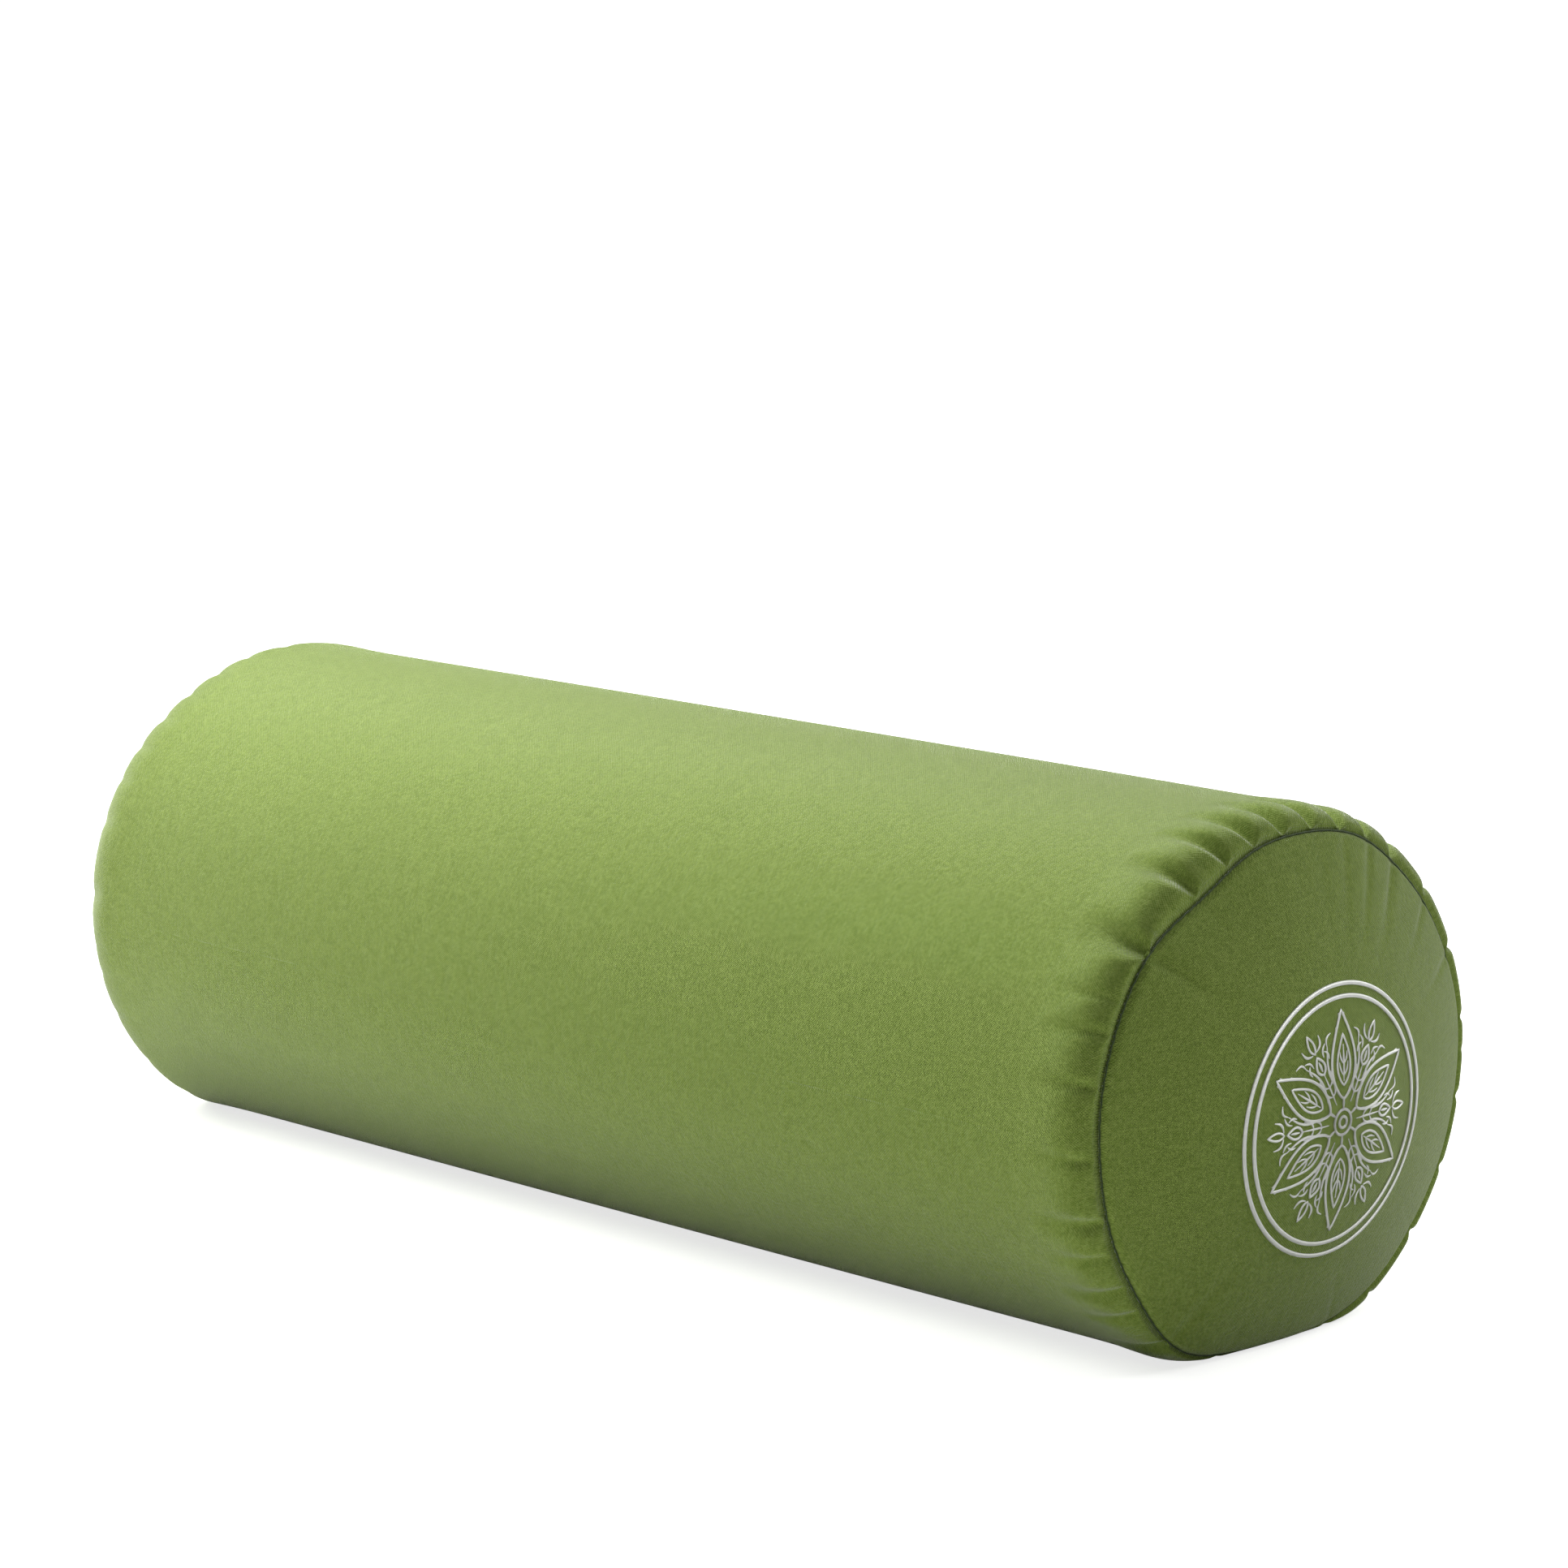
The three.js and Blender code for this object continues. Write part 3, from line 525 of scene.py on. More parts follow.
row_at = row_at + [0.0] + [-x for x in reversed(row_at)]


def seam_radius(turn):
    """The end seam isn't quite round: pulled in above the front, pushed out low down."""
    made = SEAM_RADIUS + 0.0003 * np.sin(5 * turn + 1.0) + 0.0002 * np.sin(11 * turn)
    for at, wide, out in ((118, 15, -0.0045), (240, 17, 0.0050), (66, 14, 0.0018)):
        away = (np.degrees(turn) - at + 180) % 360 - 180
        made = made + out * np.exp(-((away / wide) ** 2))
    return made


def tuck_field(turn, inside, spread):
    """The tucks at a place: how far in a tuck it is, from 0 to 1, and the tuck's reach, the
    cloth it takes up and how it runs on."""
    depth, sums = np.zeros_like(turn), np.zeros((3, len(turn)))
    for at, take, length, lean, onward in TUCKS:
        away = (turn - math.radians(at) + math.pi) % (2 * math.pi) - math.pi
        away = away * SEAM_RADIUS - lean / 1000 * (inside / (length / 1000)) ** 1.3
        wide = (0.0009 + 0.0004 * take) * (1 + inside / spread)
        here = np.exp(-((away / wide) ** 2))
        sums += here * np.array([[length / 1000], [take / 1000], [onward]])
        depth = depth + here
    return np.minimum(depth, 1), *(sums / np.maximum(depth, 1e-9))


def gathered(turn):
    """Where the cloth's angle comes to at the seam, with each tuck's cloth drawn together."""
    grid = np.linspace(0, 2 * math.pi, 7201)
    share = np.full_like(grid, COVER_RADIUS / SEAM_RADIUS)
    for at, take, *_ in TUCKS:
        away = (grid - math.radians(at) + math.pi) % (2 * math.pi) - math.pi
        wide = math.radians(2.4)
        pull = take / 1000 / SEAM_RADIUS / (wide * math.sqrt(math.pi))
        share -= pull * np.exp(-((away / wide) ** 2))
    share = np.maximum(share, 0.15)
    summed = np.concatenate([[0], np.cumsum((share[1:] + share[:-1]) / 2 * np.diff(grid))])
    return np.interp(turn, grid, summed * 2 * math.pi / summed[-1])


def let_out(made, cut, start, sewn, blow, cap):
    """Lets air pressure shape the cloth from its start, held where sewn, and keeps the result."""
    mesh = made.data
    made.shape_key_add(name="Basis")
    rest = made.shape_key_add(name="cut")
    mesh.shape_keys.key_blocks["Basis"].data.foreach_set("co", start.ravel())
    rest.data.foreach_set("co", cut.ravel())
    mesh.vertices.foreach_set("co", start.ravel())
    held = made.vertex_groups.new(name="sewn")
    held.add([int(i) for i in np.flatnonzero(sewn)], 1.0, "REPLACE")
    cloth = made.modifiers.new("cloth", "CLOTH")
    how = cloth.settings
    how.quality = 6
    how.mass = 0.3
    how.tension_stiffness = how.compression_stiffness = 25
    how.shear_stiffness = 10
    how.bending_stiffness = 0.02
    how.use_pressure = True
    how.uniform_pressure_force = blow
    how.effector_weights.gravity = 0
    how.vertex_group_mass = "sewn"
    how.rest_shape_key = rest
    cloth.collision_settings.use_self_collision = False
    frames = 12
    cloth.point_cache.frame_start, cloth.point_cache.frame_end = 1, frames
    for at in range(1, frames + 1):
        bpy.context.scene.frame_set(at)
    shown = made.evaluated_get(bpy.context.evaluated_depsgraph_get())
    blown = places_of(shown.data)
    made.modifiers.remove(cloth)
    made.shape_key_clear()
    made.vertex_groups.clear()
    bpy.context.scene.frame_set(1)
    moved = blown - start
    far = np.linalg.norm(moved, axis=1)
    print(made.name, "moved by up to", round(float(far.max()) * 1000, 2), "mm")
    blown = start + moved * np.minimum(1, cap / np.maximum(far, 1e-9))[:, None]
    mesh.vertices.foreach_set("co", blown.ravel())
    return blown


def turn_in(bm):
    """Turns the raw end edges of the cloth in, towards the axis, behind the seam."""
    for width in ALLOWANCE_STEPS:
        ends = [e for e in bm.edges if e.is_boundary and abs(e.verts[0].co.x) > 0.29]
        for v in bmesh.ops.extrude_edge_only(bm, edges=ends)["geom"]:
            if isinstance(v, bmesh.types.BMVert):
                v.co -= Vector((0, v.co.y, v.co.z)).normalized() * width


cover_bm = turned([(x, COVER_RADIUS) for x in row_at], COLUMNS)
cover = piece(cover_bm, "cover_long_panel", cover_finish)
cut = places_of(cover.data)
cloth_map(cover, cut, COVER_RADIUS)
turn = np.arctan2(cut[:, 2], cut[:, 1]) % (2 * math.pi)
inside = np.maximum(half_tube - np.abs(cut[:, 0]), 0)
toward = np.sign(cut[:, 0])
fade = np.clip(1 - inside / 0.045, 0, 1)
fade = fade * fade * (3 - 2 * fade)
shift = np.where(toward < 0, REAR_SHIFT, 0)
turn = (turn - shift) % (2 * math.pi)
strength = np.where(toward < 0, REAR_STRENGTH, 1)
drawn = turn + strength * (gathered(turn) - turn) * fade
in_tuck, reach, take, _ = tuck_field(drawn, inside, 0.022)
in_tuck = strength * in_tuck
drawn = drawn + shift
shoulder = SHOULDER + EASE + (reach - SHOULDER) * in_tuck
up = 1 - np.clip(inside / shoulder, 0, 1)
foot = COVER_RADIUS + (seam_radius(drawn) - COVER_RADIUS) * np.exp(-((inside / 0.028) ** 2))
foot = np.where(inside < 0.001, seam_radius(drawn), foot)
radius = foot + (COVER_RADIUS - foot) * np.sqrt(1 - up**2)
puff = inside / PUFF_AT * np.exp(1 - inside / PUFF_AT)
radius += PUFF * puff * (1 - in_tuck) * np.clip(inside / 0.002, 0, 1)
dip = (1 - np.exp(-inside / 0.0012)) * np.exp(-inside / (0.30 * reach + 0.001))
radius -= TUCK_DEPTH * take * dip * in_tuck
along = np.where(
    inside < SHOULDER + EASE,
    SEAM_X - GAP - SHOULDER * inside / (SHOULDER + EASE),
    np.abs(cut[:, 0]),
)
start = np.stack([toward * along, radius * np.cos(drawn), radius * np.sin(drawn)], 1)
start[toward == 0, 0] = 0
eased = COVER_RADIUS - (COVER_RADIUS - SEAM_RADIUS) * np.sqrt(1 - (1 - fade) ** 2) * 0.5
eased = np.where(toward < 0, 2 * eased - COVER_RADIUS, eased)
rest = cut.copy()
rest[:, 1:] *= eased[:, None] / COVER_RADIUS
blown = let_out(cover, rest, start, inside < 0.001, 4, 0.012)
blown[:, 0] -= toward * CREASE * np.exp(-((inside / CREASE_WIDE) ** 2))

SLOT_HALF, SLOT_LONG = 0.005, 0.2701  # the zip's opening, from its middle
SLOT_COLUMNS = 3
slot_turn = math.degrees(math.asin(SLOT_HALF / COVER_RADIUS))
column = 360 / COLUMNS
swing = np.degrees(np.arctan2(blown[:, 2], blown[:, 1]))
moved = np.interp(
    swing,
    [-180, -20, -SLOT_COLUMNS * column, SLOT_COLUMNS * column, 20, 180],
    [-180, -20, -slot_turn, slot_turn, 20, 180],
)
wide = np.hypot(blown[:, 1], blown[:, 2])
on_join = (np.abs(swing) < column / 2) & (np.abs(cut[:, 0]) > SLOT_LONG)
wide -= np.where(on_join, 0.0009, 0)
blown[:, 1] = wide * np.cos(np.radians(moved))
blown[:, 2] = wide * np.sin(np.radians(moved))
cover.data.vertices.foreach_set("co", blown.ravel())

cover_bm = bmesh.new()
cover_bm.from_mesh(cover.data)
columns_round = np.abs(np.degrees(np.arctan2(cut[:, 2], cut[:, 1]))) / column
in_slot = (columns_round < SLOT_COLUMNS + 0.1) & (np.abs(cut[:, 0]) < SLOT_LONG)
opening = [f for f in cover_bm.faces if all(in_slot[v.index] for v in f.verts)]
bmesh.ops.delete(cover_bm, geom=opening, context="FACES")
turn_in(cover_bm)
bmesh.ops.recalc_face_normals(cover_bm, faces=cover_bm.faces)
cover_bm.to_mesh(cover.data)
cover_bm.free()
cover.data.polygons.foreach_set("use_smooth", [True] * len(cover.data.polygons))
lay(cover, "cover_body_panel")


def cloth_wall(made, thickness):
    """Gives a sheet of cloth its thickness, inwards, and rounds its edges."""
    wall = made.modifiers.new("cloth", "SOLIDIFY")
    wall.thickness, wall.offset = thickness, -1
    soft = made.modifiers.new("smooth", "SUBSURF")
    soft.levels = soft.render_levels = 1


cloth_wall(cover, COVER_CLOTH)


# Each end is closed by a round panel of the same cotton. The filling blows it up to a low
# dome, and the tucks of the long panel run on into it as short grooves.
END_COLUMNS = 480
FLAT_FROM_SEAM = [0, 0.5, 1.0, 1.6, 2.3, 3.1, 4.1, 5.3, 6.7, 8.5, 10.5, 13, 16, 19.5, 23.5, 28.5]
end_radii = [SEAM_RADIUS - t / 1000 for t in FLAT_FROM_SEAM]
end_radii += [0.066, 0.059, 0.050, 0.039, 0.026, 0.013, 0.0]
HELD = 0.0665  # the filling holds the panel's middle still
THREAD_OUT = 0.0009  # the seam thread stands out of the crease
GROOVE = 0.0019  # how deep a tuck runs on into the panel
for end, side in (("front", 1), ("rear", -1)):
    arcs = [DOME_RADIUS * math.asin(r / DOME_RADIUS) for r in end_radii]
    end_bm = turned([(0, arc) for arc in arcs], END_COLUMNS)
    if sum(f.normal.x for f in end_bm.faces) * side < 0:
        bmesh.ops.reverse_faces(end_bm, faces=end_bm.faces)
    panel = piece(end_bm, "cover_round_panel_" + end, cover_finish)
    cut = places_of(panel.data)
    cloth_map(panel, cut, None)
    turn = np.arctan2(cut[:, 2], cut[:, 1]) % (2 * math.pi)
    shift = REAR_SHIFT if side < 0 else 0
    ball = DOME_RADIUS * np.sin(np.hypot(cut[:, 1], cut[:, 2]) / DOME_RADIUS)
    inward = np.maximum(SEAM_RADIUS - ball, 0)
    in_tuck, reach, _, onward = tuck_field((turn - shift) % (2 * math.pi), inward * 0.6, 0.022)
    groove = GROOVE * in_tuck * onward * np.exp(-((inward / (reach * 0.45 + 0.001)) ** 2))
    groove *= inward / (inward + 0.001)
    radius = ball + (seam_radius(turn) - SEAM_RADIUS) * np.exp(-((inward / 0.028) ** 2))
    out = dome(ball) + GAP - groove
    start = np.stack([side * out, radius * np.cos(turn), radius * np.sin(turn)], 1)
    rest = np.stack([side * (dome(ball) + GAP), radius * np.cos(turn), radius * np.sin(turn)], 1)
    blown = let_out(panel, rest, start, (ball < HELD) | (inward < 0.0003), 4, 0.005)
    blown[:, 0] -= side * CREASE * np.exp(-((inward / CREASE_WIDE) ** 2))
    panel.data.vertices.foreach_set("co", blown.ravel())
    end_bm = bmesh.new()
    end_bm.from_mesh(panel.data)
    turn_in(end_bm)
    end_bm.to_mesh(panel.data)
    end_bm.free()
    panel.data.polygons.foreach_set("use_smooth", [True] * len(panel.data.polygons))
    lay(panel, "cover_end_panel_" + end)
    wall = panel.modifiers.new("cloth", "SOLIDIFY")
    wall.thickness, wall.offset = COVER_CLOTH, -1


# Dark green thread joins the round panels to the long one. It is pulled tight, so it lies at the
# bottom of the crease.
# Its colour is far darker than the cloth's: painted shade, so that its fine dark line stands for the
# shade in the crease.
# painted shade: the thread is coloured much darker than the cloth to stand for the crease's shade
cover_thread = twisted_thread("cover_thread", (0.022, 0.048, 0.003), (0.048, 0.090, 0.007))
THREAD = 0.00032
for end, side in (("front", 1), ("rear", -1)):
    thread = bpy.data.curves.new("seam_thread", "CURVE")
    thread.dimensions = "3D"
    thread.bevel_depth = THREAD
    thread.bevel_resolution = 1
    line = thread.splines.new("POLY")
    line.points.add(719)
    line.use_cyclic_u = True
    rounds = np.linspace(0, 2 * math.pi, len(line.points), endpoint=False)
    for spot, at, radius in zip(line.points, rounds, seam_radius(rounds)):
        wave = 0.00012 * math.sin(at * 105)  # each stitch dips between the cloths
        x = side * (SEAM_X - CREASE + THREAD_OUT + wave)
        spot.co = (x, radius * math.cos(at), radius * math.sin(at), 1)
    laid_thread = bpy.data.objects.new("seam_thread", thread)
    bpy.context.scene.collection.objects.link(laid_thread)
    mesh = bpy.data.meshes.new_from_object(laid_thread)
    bpy.data.objects.remove(laid_thread)
    seam_bm = bmesh.new()
    seam_bm.from_mesh(mesh)
    bmesh.ops.recalc_face_normals(seam_bm, faces=seam_bm.faces)
    seam = piece(seam_bm, "cover_seam_thread_" + end, cover_thread)
    settled = settle(places_of(seam.data), "cover_end_panel_" + end)
    seam.data.vertices.foreach_set("co", settled.ravel())
    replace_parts(seam, "cover_end_seam_" + end)


# A disc of white stabiliser is ironed on behind the embroidery, so that the dense stitches
# don't pucker the cotton.
backing_finish, tree, shader = finish_of("stabiliser_felt", 0.95)
where = add(tree, "TexCoord").outputs["Object"]
felt = add(tree, "TexNoise", Vector=where, Scale=1200.0, Detail=4.0, Distortion=2.0)
coloured(tree, shader, felt.outputs["Fac"], (0.76, 0.76, 0.73), (0.92, 0.92, 0.90))
raised(tree, shader, felt.outputs["Fac"], 0.0003)

EMBLEM_ACROSS, EMBLEM_UP = 0.007, -0.008  # the emblem's centre from the axis
panel_low, panel_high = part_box("cover_end_panel_front")
WIDEN = -panel_low.y / (panel_high.z - AXIS)


def on_dome(across, up, lift):
    """The place on the settled front dome, from the emblem's centre, lifted off the cloth."""
    y, z = EMBLEM_ACROSS + across, EMBLEM_UP + up
    return Vector((float(dome(math.hypot(y / WIDEN, z))) + GAP + lift, y, z + AXIS))


BACKING_RADIUS, BACKING_UNDER, BACKING_THICK = 0.0576, -0.0018, 0.0004
backing_bm = bmesh.new()
bmesh.ops.create_circle(backing_bm, segments=96, radius=BACKING_RADIUS, cap_ends=True)
for _ in range(11):
    caps = [f for f in backing_bm.faces if len(f.verts) > 4]
    bmesh.ops.inset_region(backing_bm, faces=caps, thickness=BACKING_RADIUS / 12.5)
for v in backing_bm.verts:
    v.co = on_dome(v.co.x, v.co.y, BACKING_UNDER)
bmesh.ops.recalc_face_normals(backing_bm, faces=backing_bm.faces)
bmesh.ops.solidify(backing_bm, geom=backing_bm.faces, thickness=BACKING_THICK)
bmesh.ops.recalc_face_normals(backing_bm, faces=backing_bm.faces)
backing = piece(backing_bm, "embroidery_stabiliser", backing_finish)
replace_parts(backing, "embroidery_backing")


# Two rings of satin stitch are embroidered in silver-grey rayon: thread laid side by side
# across each line, packed so closely that it stands up as a smooth round cord.
silver_finish, tree, shader = finish_of(
    "silver_rayon", 0.40, Sheen_Weight=0.6, Sheen_Roughness=0.4, Metallic=0.55,
)
where = add(tree, "TexCoord").outputs["Object"]
offset = (0, -EMBLEM_ACROSS, -EMBLEM_UP - AXIS)
centred = add(tree, "Mapping", Vector=where, Location=offset)
sides = add(tree, "SeparateXYZ", Vector=centred.outputs[0])
swing = add(tree, "Math", {"operation": "ARCTAN2"}, _0=sides.outputs["Z"], _1=sides.outputs["Y"])
laid = add(tree, "Math", {"operation": "MULTIPLY"}, _0=swing.outputs[0], _1=760.0)
laid = add(tree, "Math", {"operation": "SINE"}, _0=laid.outputs[0])
painted_glints = add(tree, "TexNoise", Vector=where, Scale=500.0, Detail=3.0)
threads = add(
    tree, "Math", {"operation": "MULTIPLY_ADD"}, _0=laid.outputs[0], _1=0.18, _2=painted_glints.outputs["Fac"]
)
# painted shade and painted glints: the colour darkens between the stitches and brightens in noise
# patches
coloured(tree, shader, threads.outputs[0], (0.84, 0.87, 0.80), (1.0, 1.0, 0.98))
raised(tree, shader, threads.outputs[0], 0.0002)


def stitched(name, strokes, rise, node):
    """Satin stitch along strokes, each a list of (across, up, half width) in mm and whether
    it is closed, laid on the front dome with so much rise."""
    lines = bpy.data.curves.new(name, "CURVE")
    lines.dimensions = "3D"
    lines.bevel_depth = 0.001
    lines.bevel_resolution = 2
    lines.use_fill_caps = True
    for points, closed in strokes:
        line = lines.splines.new("POLY")
        line.points.add(len(points) - 1)
        line.use_cyclic_u = closed
        for spot, (across, up, half) in zip(line.points, points):
            spot.co = (across / 1000, up / 1000, 0, 1)
            spot.radius = half
    drawn_lines = bpy.data.objects.new(name + "_lines", lines)
    bpy.context.scene.collection.objects.link(drawn_lines)
    mesh = bpy.data.meshes.new_from_object(drawn_lines)
    bpy.data.objects.remove(drawn_lines)
    bm = bmesh.new()
    bm.from_mesh(mesh)
    bpy.data.meshes.remove(mesh)
    for v in bm.verts:
        across, up, high = v.co
        v.co = on_dome(across, up, 0.0001 + max(high, -0.0002) / 0.001 * rise)
    bmesh.ops.recalc_face_normals(bm, faces=bm.faces)
    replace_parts(piece(bm, name, silver_finish), node)


def round_line(radius, half, steps=180):
    """A closed round stroke."""
    turns = [2 * math.pi * k / steps for k in range(steps)]
    return [(radius * math.cos(t), radius * math.sin(t), half) for t in turns], True


OUTER_RING, INNER_RING, RING_HALF, RING_RISE = 53.0, 48.2, 0.9, 0.0008
stitched("satin_outer_ring", [round_line(OUTER_RING, RING_HALF)], RING_RISE, "embroidery_outer_ring")
stitched("satin_inner_ring", [round_line(INNER_RING, RING_HALF)], RING_RISE, "embroidery_inner_ring")


# Inside the rings the same thread draws a plain six-petalled rosette: leaf-shaped petals
# with veins, small buds on stems between them, and curled leaves that join them.
def curve_line(ends, bend, half, steps=14, taper=0.35):
    """A stroke between two points that bows sideways, full in the middle and thin at its tips."""
    (x0, y0), (x1, y1) = ends
    long = math.hypot(x1 - x0, y1 - y0)
    line = []
    for k in range(steps + 1):
        t = k / steps
        bow = bend * math.sin(math.pi * t)
        x = x0 + (x1 - x0) * t - (y1 - y0) / long * bow
        y = y0 + (y1 - y0) * t + (x1 - x0) / long * bow
        full = math.sin(math.pi * min(max(t, 0.06), 0.94))
        line.append((x, y, half * (taper + (1 - taper) * full)))
    return line, False


def leaf(base, tip, wide, half, steps=22):
    """A closed leaf outline from base to tip along the up axis, widest below its middle."""
    side = []
    for k in range(steps + 1):
        t = k / steps
        out = wide * math.sin(math.pi * t**0.85) ** 0.9 * (1 - 0.25 * t)
        side.append((out, base + (tip - base) * t))
    outline = side + [(-x, y) for x, y in reversed(side[1:-1])]
    return [(x, y, half) for x, y in outline], True


PETAL_TIP, PETAL_BASE, PETAL_HALF = 43.2, 9.0, 8.0
FINE = 0.50  # half the width of a fine stitched line
one_petal = [
    leaf(PETAL_BASE, PETAL_TIP, PETAL_HALF, 0.62),
    leaf(PETAL_BASE + 5.5, PETAL_TIP - 9, PETAL_HALF * 0.55, FINE),
    curve_line(((0, PETAL_BASE + 7), (0, PETAL_TIP - 13)), 0, FINE),
    curve_line(((0, 5.2), (0, PETAL_BASE + 1)), 0, 0.6),
]
for side in (1, -1):
    one_petal += [
        curve_line(((0, 18), (side * 2.6, 23.5)), side * -0.5, 0.42),
        curve_line(((0, 22.5), (side * 2.2, 27.5)), side * -0.5, 0.42),
        curve_line(((side * 3.0, 12.5), (side * 9.6, 30.5)), side * -2.6, 0.55),
        curve_line(((side * 9.6, 30.5), (side * 7.2, 35.5)), side * -1.6, 0.5),
        curve_line(((side * 8.6, 26.0), (side * 11.4, 29.2)), side * 0.8, 0.5),
        curve_line(((side * 4.2, 36.5), (side * 1.6, 42.2)), side * 0.9, 0.5),
    ]
one_bud = [
    curve_line(((0, 8.5), (0, 23.5)), 0, 0.45),
    leaf(23.5, 31.5, 2.6, 0.55, steps=10),
    curve_line(((0, 25.0), (0, 29.5)), 0, 0.6),
    leaf(33.2, 41.5, 1.7, 0.5, steps=9),
]
for side in (1, -1):
    one_bud += [
        curve_line(((0, 17.0), (side * 3.6, 22.5)), side * -1.3, 0.5),
        curve_line(((0, 12.5), (side * 2.6, 16.5)), side * -0.9, 0.45),
        curve_line(((side * 1.2, 33.4), (side * 5.4, 38.2)), side * -1.4, 0.55),
        curve_line(((side * 3.4, 29.2), (side * 6.6, 33.2)), side * 1.0, 0.5),
    ]
strokes = [round_line(5.0, 0.6, steps=36), round_line(2.2, 0.6, steps=20)]
for k in range(6):
    for strokes_of_one, swing_by in ((one_petal, k * 60), (one_bud, k * 60 + 30)):
        c, s = math.cos(math.radians(swing_by)), math.sin(math.radians(swing_by))
        for points, closed in strokes_of_one:
            swung = [(x * c - y * s, x * s + y * c, half) for x, y, half in points]
            strokes.append((swung, closed))
stitched("satin_rosette", strokes, 0.00075, "embroidery_rosette")


# The zip's two tapes are woven ribbon, sewn under the turned edges of the opening. Each has
# a thicker cord woven in beside the coil.
tape_finish, tree, shader = finish_of("zip_tape_weave", 0.85, Sheen_Weight=0.1)
where = add(tree, "TexCoord").outputs["Object"]
lying = add(tree, "Mapping", Vector=where, Rotation=(math.radians(90), 0, 0))
height, flecks, _ = woven(tree, lying.outputs[0], 1700.0, 500.0, 0.4)
coloured(tree, shader, flecks, (0.105, 0.180, 0.038), (0.190, 0.290, 0.075))
raised(tree, shader, height, 0.0003)
for edge in ("upper", "lower"):
    low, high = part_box("zip_tape_" + edge)
    middle, size = (low + high) / 2, high - low
    tape_bm = bmesh.new()
    bmesh.ops.create_cube(
        tape_bm, size=1, matrix=Matrix.Translation(middle) @ Matrix.Diagonal((*(size * 0.999), 1))
    )
    across = [e for e in tape_bm.edges if abs(e.verts[0].co.z - e.verts[1].co.z) > size.z / 2]
    bmesh.ops.subdivide_edges(tape_bm, edges=across, cuts=27, use_grid_fill=True)
    along = [e for e in tape_bm.edges if abs(e.verts[0].co.x - e.verts[1].co.x) > size.x / 2]
    bmesh.ops.subdivide_edges(tape_bm, edges=along, cuts=90, use_grid_fill=True)
    for v in tape_bm.verts:
        from_coil = abs(v.co.z - AXIS) - min(abs(low.z - AXIS), abs(high.z - AXIS))
        thin = 0.0001 * (1 - math.exp(-(((from_coil - 0.0008) / 0.0006) ** 2)))
        v.co.y += -thin if v.co.y > middle.y else thin
    tape = piece(tape_bm, "zip_ribbon_" + edge, tape_finish)
    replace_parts(tape, "zip_tape_" + edge)


# The zip's teeth are two spirals of nylon line, sewn to the tapes. Their loops meet in the
# middle of the opening and lock there when the slider has passed.
coil_finish, tree, shader = finish_of("nylon_coil", 0.38, Coat_Weight=0.1)
where = add(tree, "TexCoord").outputs["Object"]
scuffs = add(tree, "TexNoise", Vector=where, Scale=350.0, Detail=3.0)
coloured(tree, shader, scuffs.outputs["Fac"], (0.130, 0.215, 0.050), (0.230, 0.340, 0.095))
rough = add(tree, "MapRange", _0=scuffs.outputs["Fac"], _1=0.3, _2=0.7, _3=0.3, _4=0.5)
tree.links.new(rough.outputs[0], shader.inputs["Roughness"])
LINE, LOOP_PITCH, LOOP_POINTS = 0.00030, 0.0013, 10
for edge, side in (("upper", 1), ("lower", -1)):
    low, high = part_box("zip_coil_" + edge)
    middle, size = (low + high) / 2, high - low
    loops = int(size.x / LOOP_PITCH) - 1
    coil = bpy.data.curves.new("coil", "CURVE")
    coil.dimensions = "3D"
    coil.bevel_depth = LINE
    coil.bevel_resolution = 1
    coil.use_fill_caps = True
    line = coil.splines.new("POLY")
    line.points.add(loops * LOOP_POINTS)
    for k, spot in enumerate(line.points):
        t = 2 * math.pi * k / LOOP_POINTS
        x = low.x + LINE + LOOP_PITCH * k / LOOP_POINTS + 0.0003
        y = middle.y + (size.y / 2 - LINE) * math.sin(t)
        z = middle.z + (size.z / 2 - LINE) * math.cos(t) * side
        spot.co = (x, y, z, 1)
    wound = bpy.data.objects.new("coil_line", coil)
    bpy.context.scene.collection.objects.link(wound)
    mesh = bpy.data.meshes.new_from_object(wound)
    bpy.data.objects.remove(wound)
    coil_bm = bmesh.new()
    coil_bm.from_mesh(mesh)
    bmesh.ops.recalc_face_normals(coil_bm, faces=coil_bm.faces)
    coil_piece = piece(coil_bm, "zip_spiral_" + edge, coil_finish)
    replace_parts(coil_piece, "zip_coil_" + edge)


# A row of green lockstitch holds the turned edges and the tapes together, all round the
# opening.
low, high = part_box("zip_topstitch")
stitch_half = (high.y - low.y) / 2 * 0.92
STITCH_LONG, STITCH_GAP = 0.0026, 0.0006
stitch_bm = bmesh.new()
corners = [
    Vector((low.x + stitch_half, 0, low.z + stitch_half)),
    Vector((high.x - stitch_half, 0, low.z + stitch_half)),
    Vector((high.x - stitch_half, 0, high.z - stitch_half)),
    Vector((low.x + stitch_half, 0, high.z - stitch_half)),
]
for here, there in zip(corners, corners[1:] + corners[:1]):
    way = there - here
    count = round(way.length / (STITCH_LONG + STITCH_GAP))
    for k in range(count):
        spot = here + way * (k + 0.5) / count
        spot.y = (low.y + high.y) / 2
        stretch = (STITCH_LONG / 2, stitch_half, stitch_half)
        if abs(way.z) > abs(way.x):
            stretch = (stitch_half, stitch_half, STITCH_LONG / 2)
        bmesh.ops.create_uvsphere(
            stitch_bm, u_segments=8, v_segments=5, radius=1,
            matrix=Matrix.Translation(spot) @ Matrix.Diagonal((*stretch, 1)),
        )
# the same dark thread finish, whose colour is painted crease shade at the end seams
topstitch = piece(stitch_bm, "zip_lockstitch", cover_thread)
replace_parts(topstitch, "zip_topstitch")


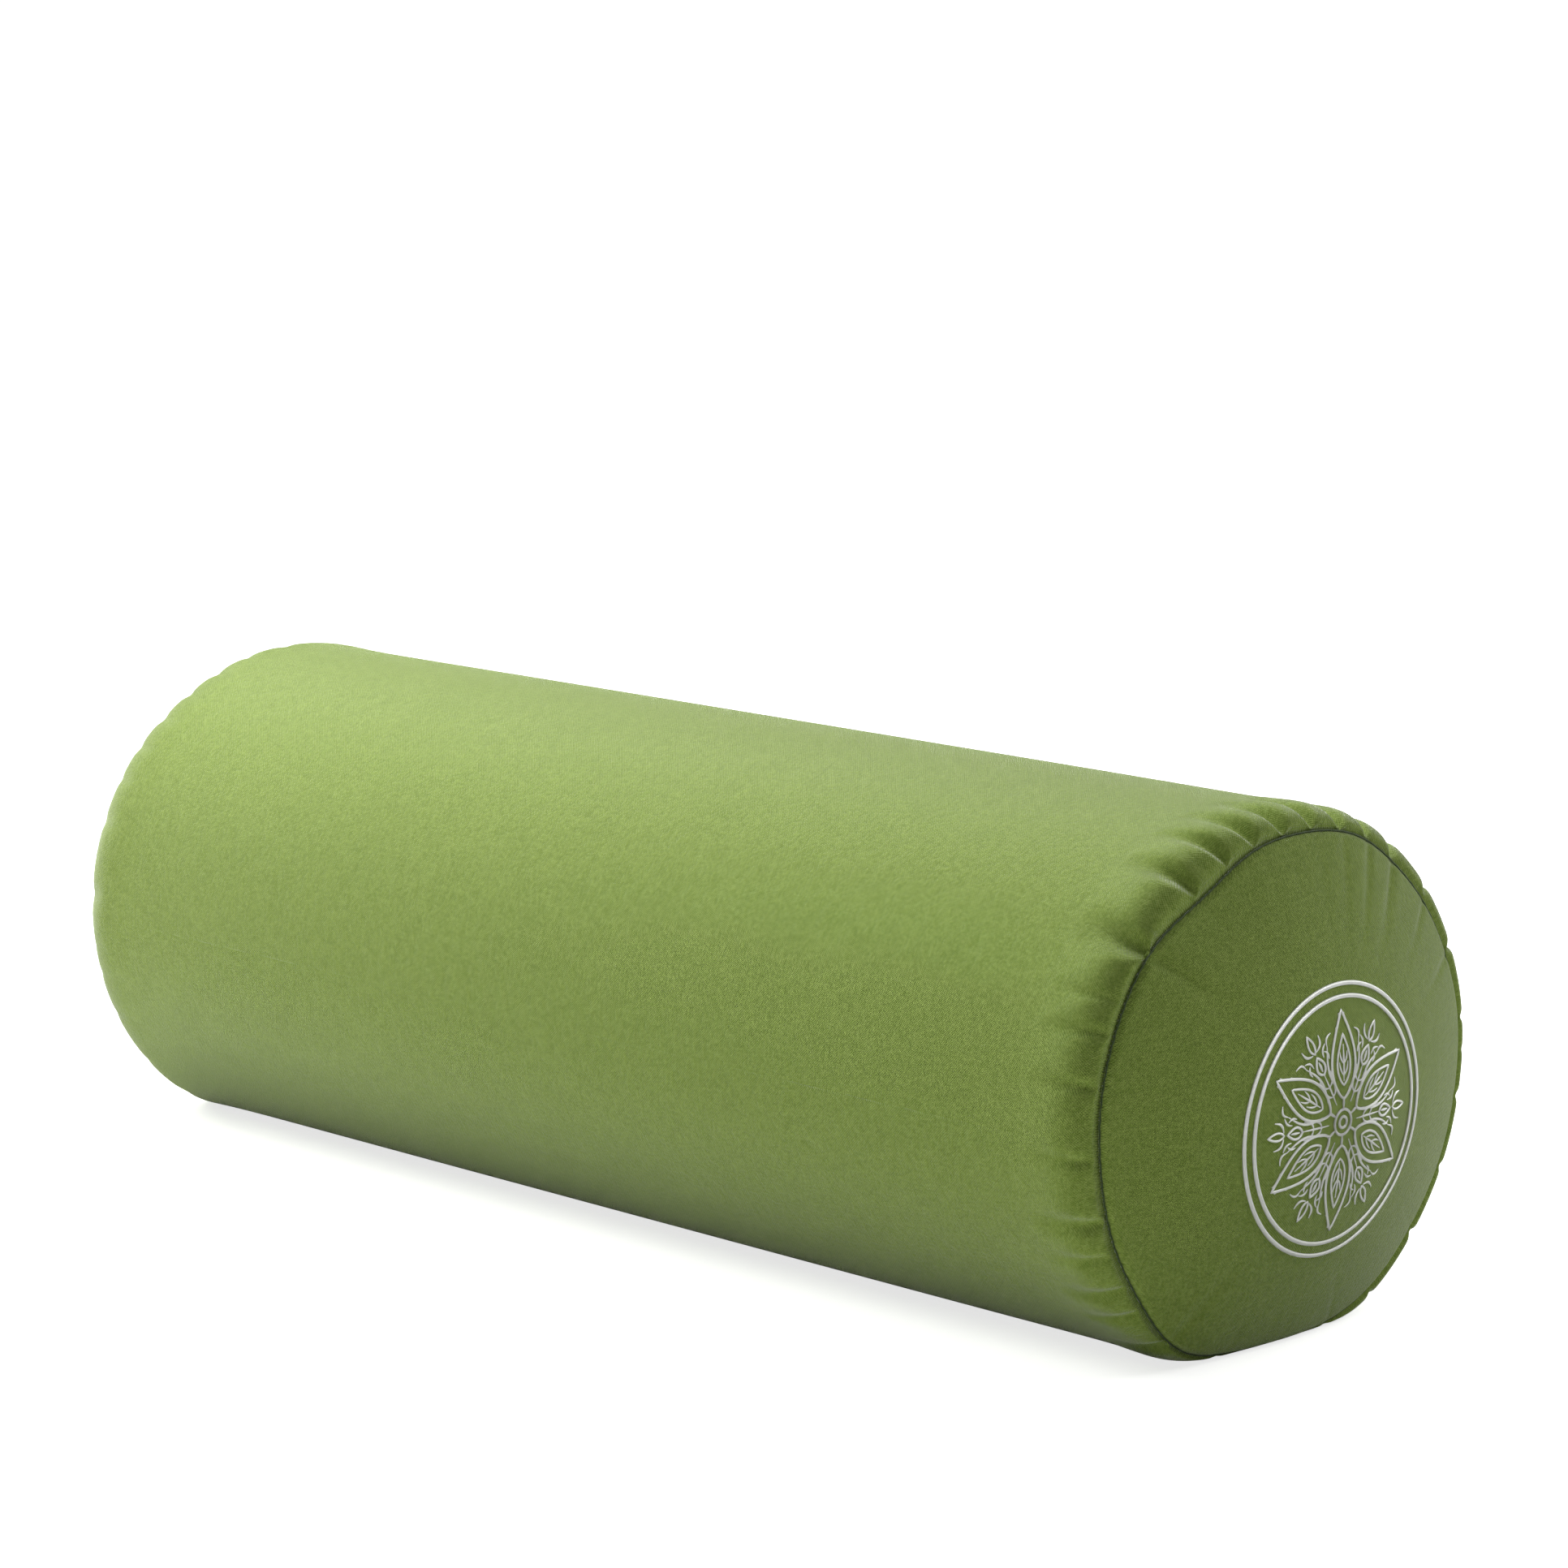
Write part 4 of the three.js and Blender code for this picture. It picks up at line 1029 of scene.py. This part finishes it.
# Small crimped stops of nickel-plated brass end the zip, two at the top and one across both
# coils at the bottom. The slider and its hanging tab are of the same metal.
metal_finish, tree, shader = finish_of("dull_nickel", 0.35, Metallic=1.0)
where = add(tree, "TexCoord").outputs["Object"]
tarnish = add(tree, "TexNoise", Vector=where, Scale=260.0, Detail=4.0)
brushed = add(tree, "Mapping", Vector=where, Scale=(300.0, 4000.0, 4000.0))
brush = add(tree, "TexNoise", Vector=brushed.outputs[0], Scale=1.0, Detail=2.0)
coloured(tree, shader, tarnish.outputs["Fac"], (0.36, 0.37, 0.34), (0.62, 0.64, 0.61))
rough = add(tree, "MapRange", _0=brush.outputs["Fac"], _1=0.3, _2=0.7, _3=0.26, _4=0.48)
tree.links.new(rough.outputs[0], shader.inputs["Roughness"])
raised(tree, shader, brush.outputs["Fac"], 0.00002)


def smoothed_copy(node, name, rounding, body):
    """A copy of a CAD metal part with its edges broken, as tumbling leaves them."""
    bm = bmesh.new()
    bm.from_mesh(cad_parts[node].data)
    bmesh.ops.remove_doubles(bm, verts=bm.verts, dist=1e-6)
    bmesh.ops.dissolve_limit(bm, angle_limit=0.02, verts=bm.verts, edges=bm.edges)
    sharp = [e for e in bm.edges if e.is_manifold and e.calc_face_angle() > math.radians(35)]
    bmesh.ops.bevel(
        bm, geom=sharp, offset=rounding, offset_type="OFFSET", segments=2, profile=0.5,
        affect="EDGES", clamp_overlap=True, material=-1,
    )
    made = piece(bm, name, metal_finish, body)
    made.data.polygons.foreach_set("use_smooth", [False] * len(made.data.polygons))
    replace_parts(made, node)


BROKEN_EDGE = 0.0002
for node in ("zip_top_stop_upper", "zip_top_stop_lower", "zip_bottom_stop"):
    smoothed_copy(node, node + "_clip", BROKEN_EDGE, "cushion")


# The slider is die-cast: two plates with a flange down each side and a bridge on top. It
# runs along the coils and locks or parts them.
smoothed_copy("zip_slider", "zip_slider_casting", BROKEN_EDGE, "slider")


# The pull tab is a stamped strip with an eye at one end, which hangs on the slider's
# bridge and swings over it, and a window near the other for a fingertip.
smoothed_copy("zip_pull_tab", "zip_pull_tab_strip", BROKEN_EDGE, "pull_tab")
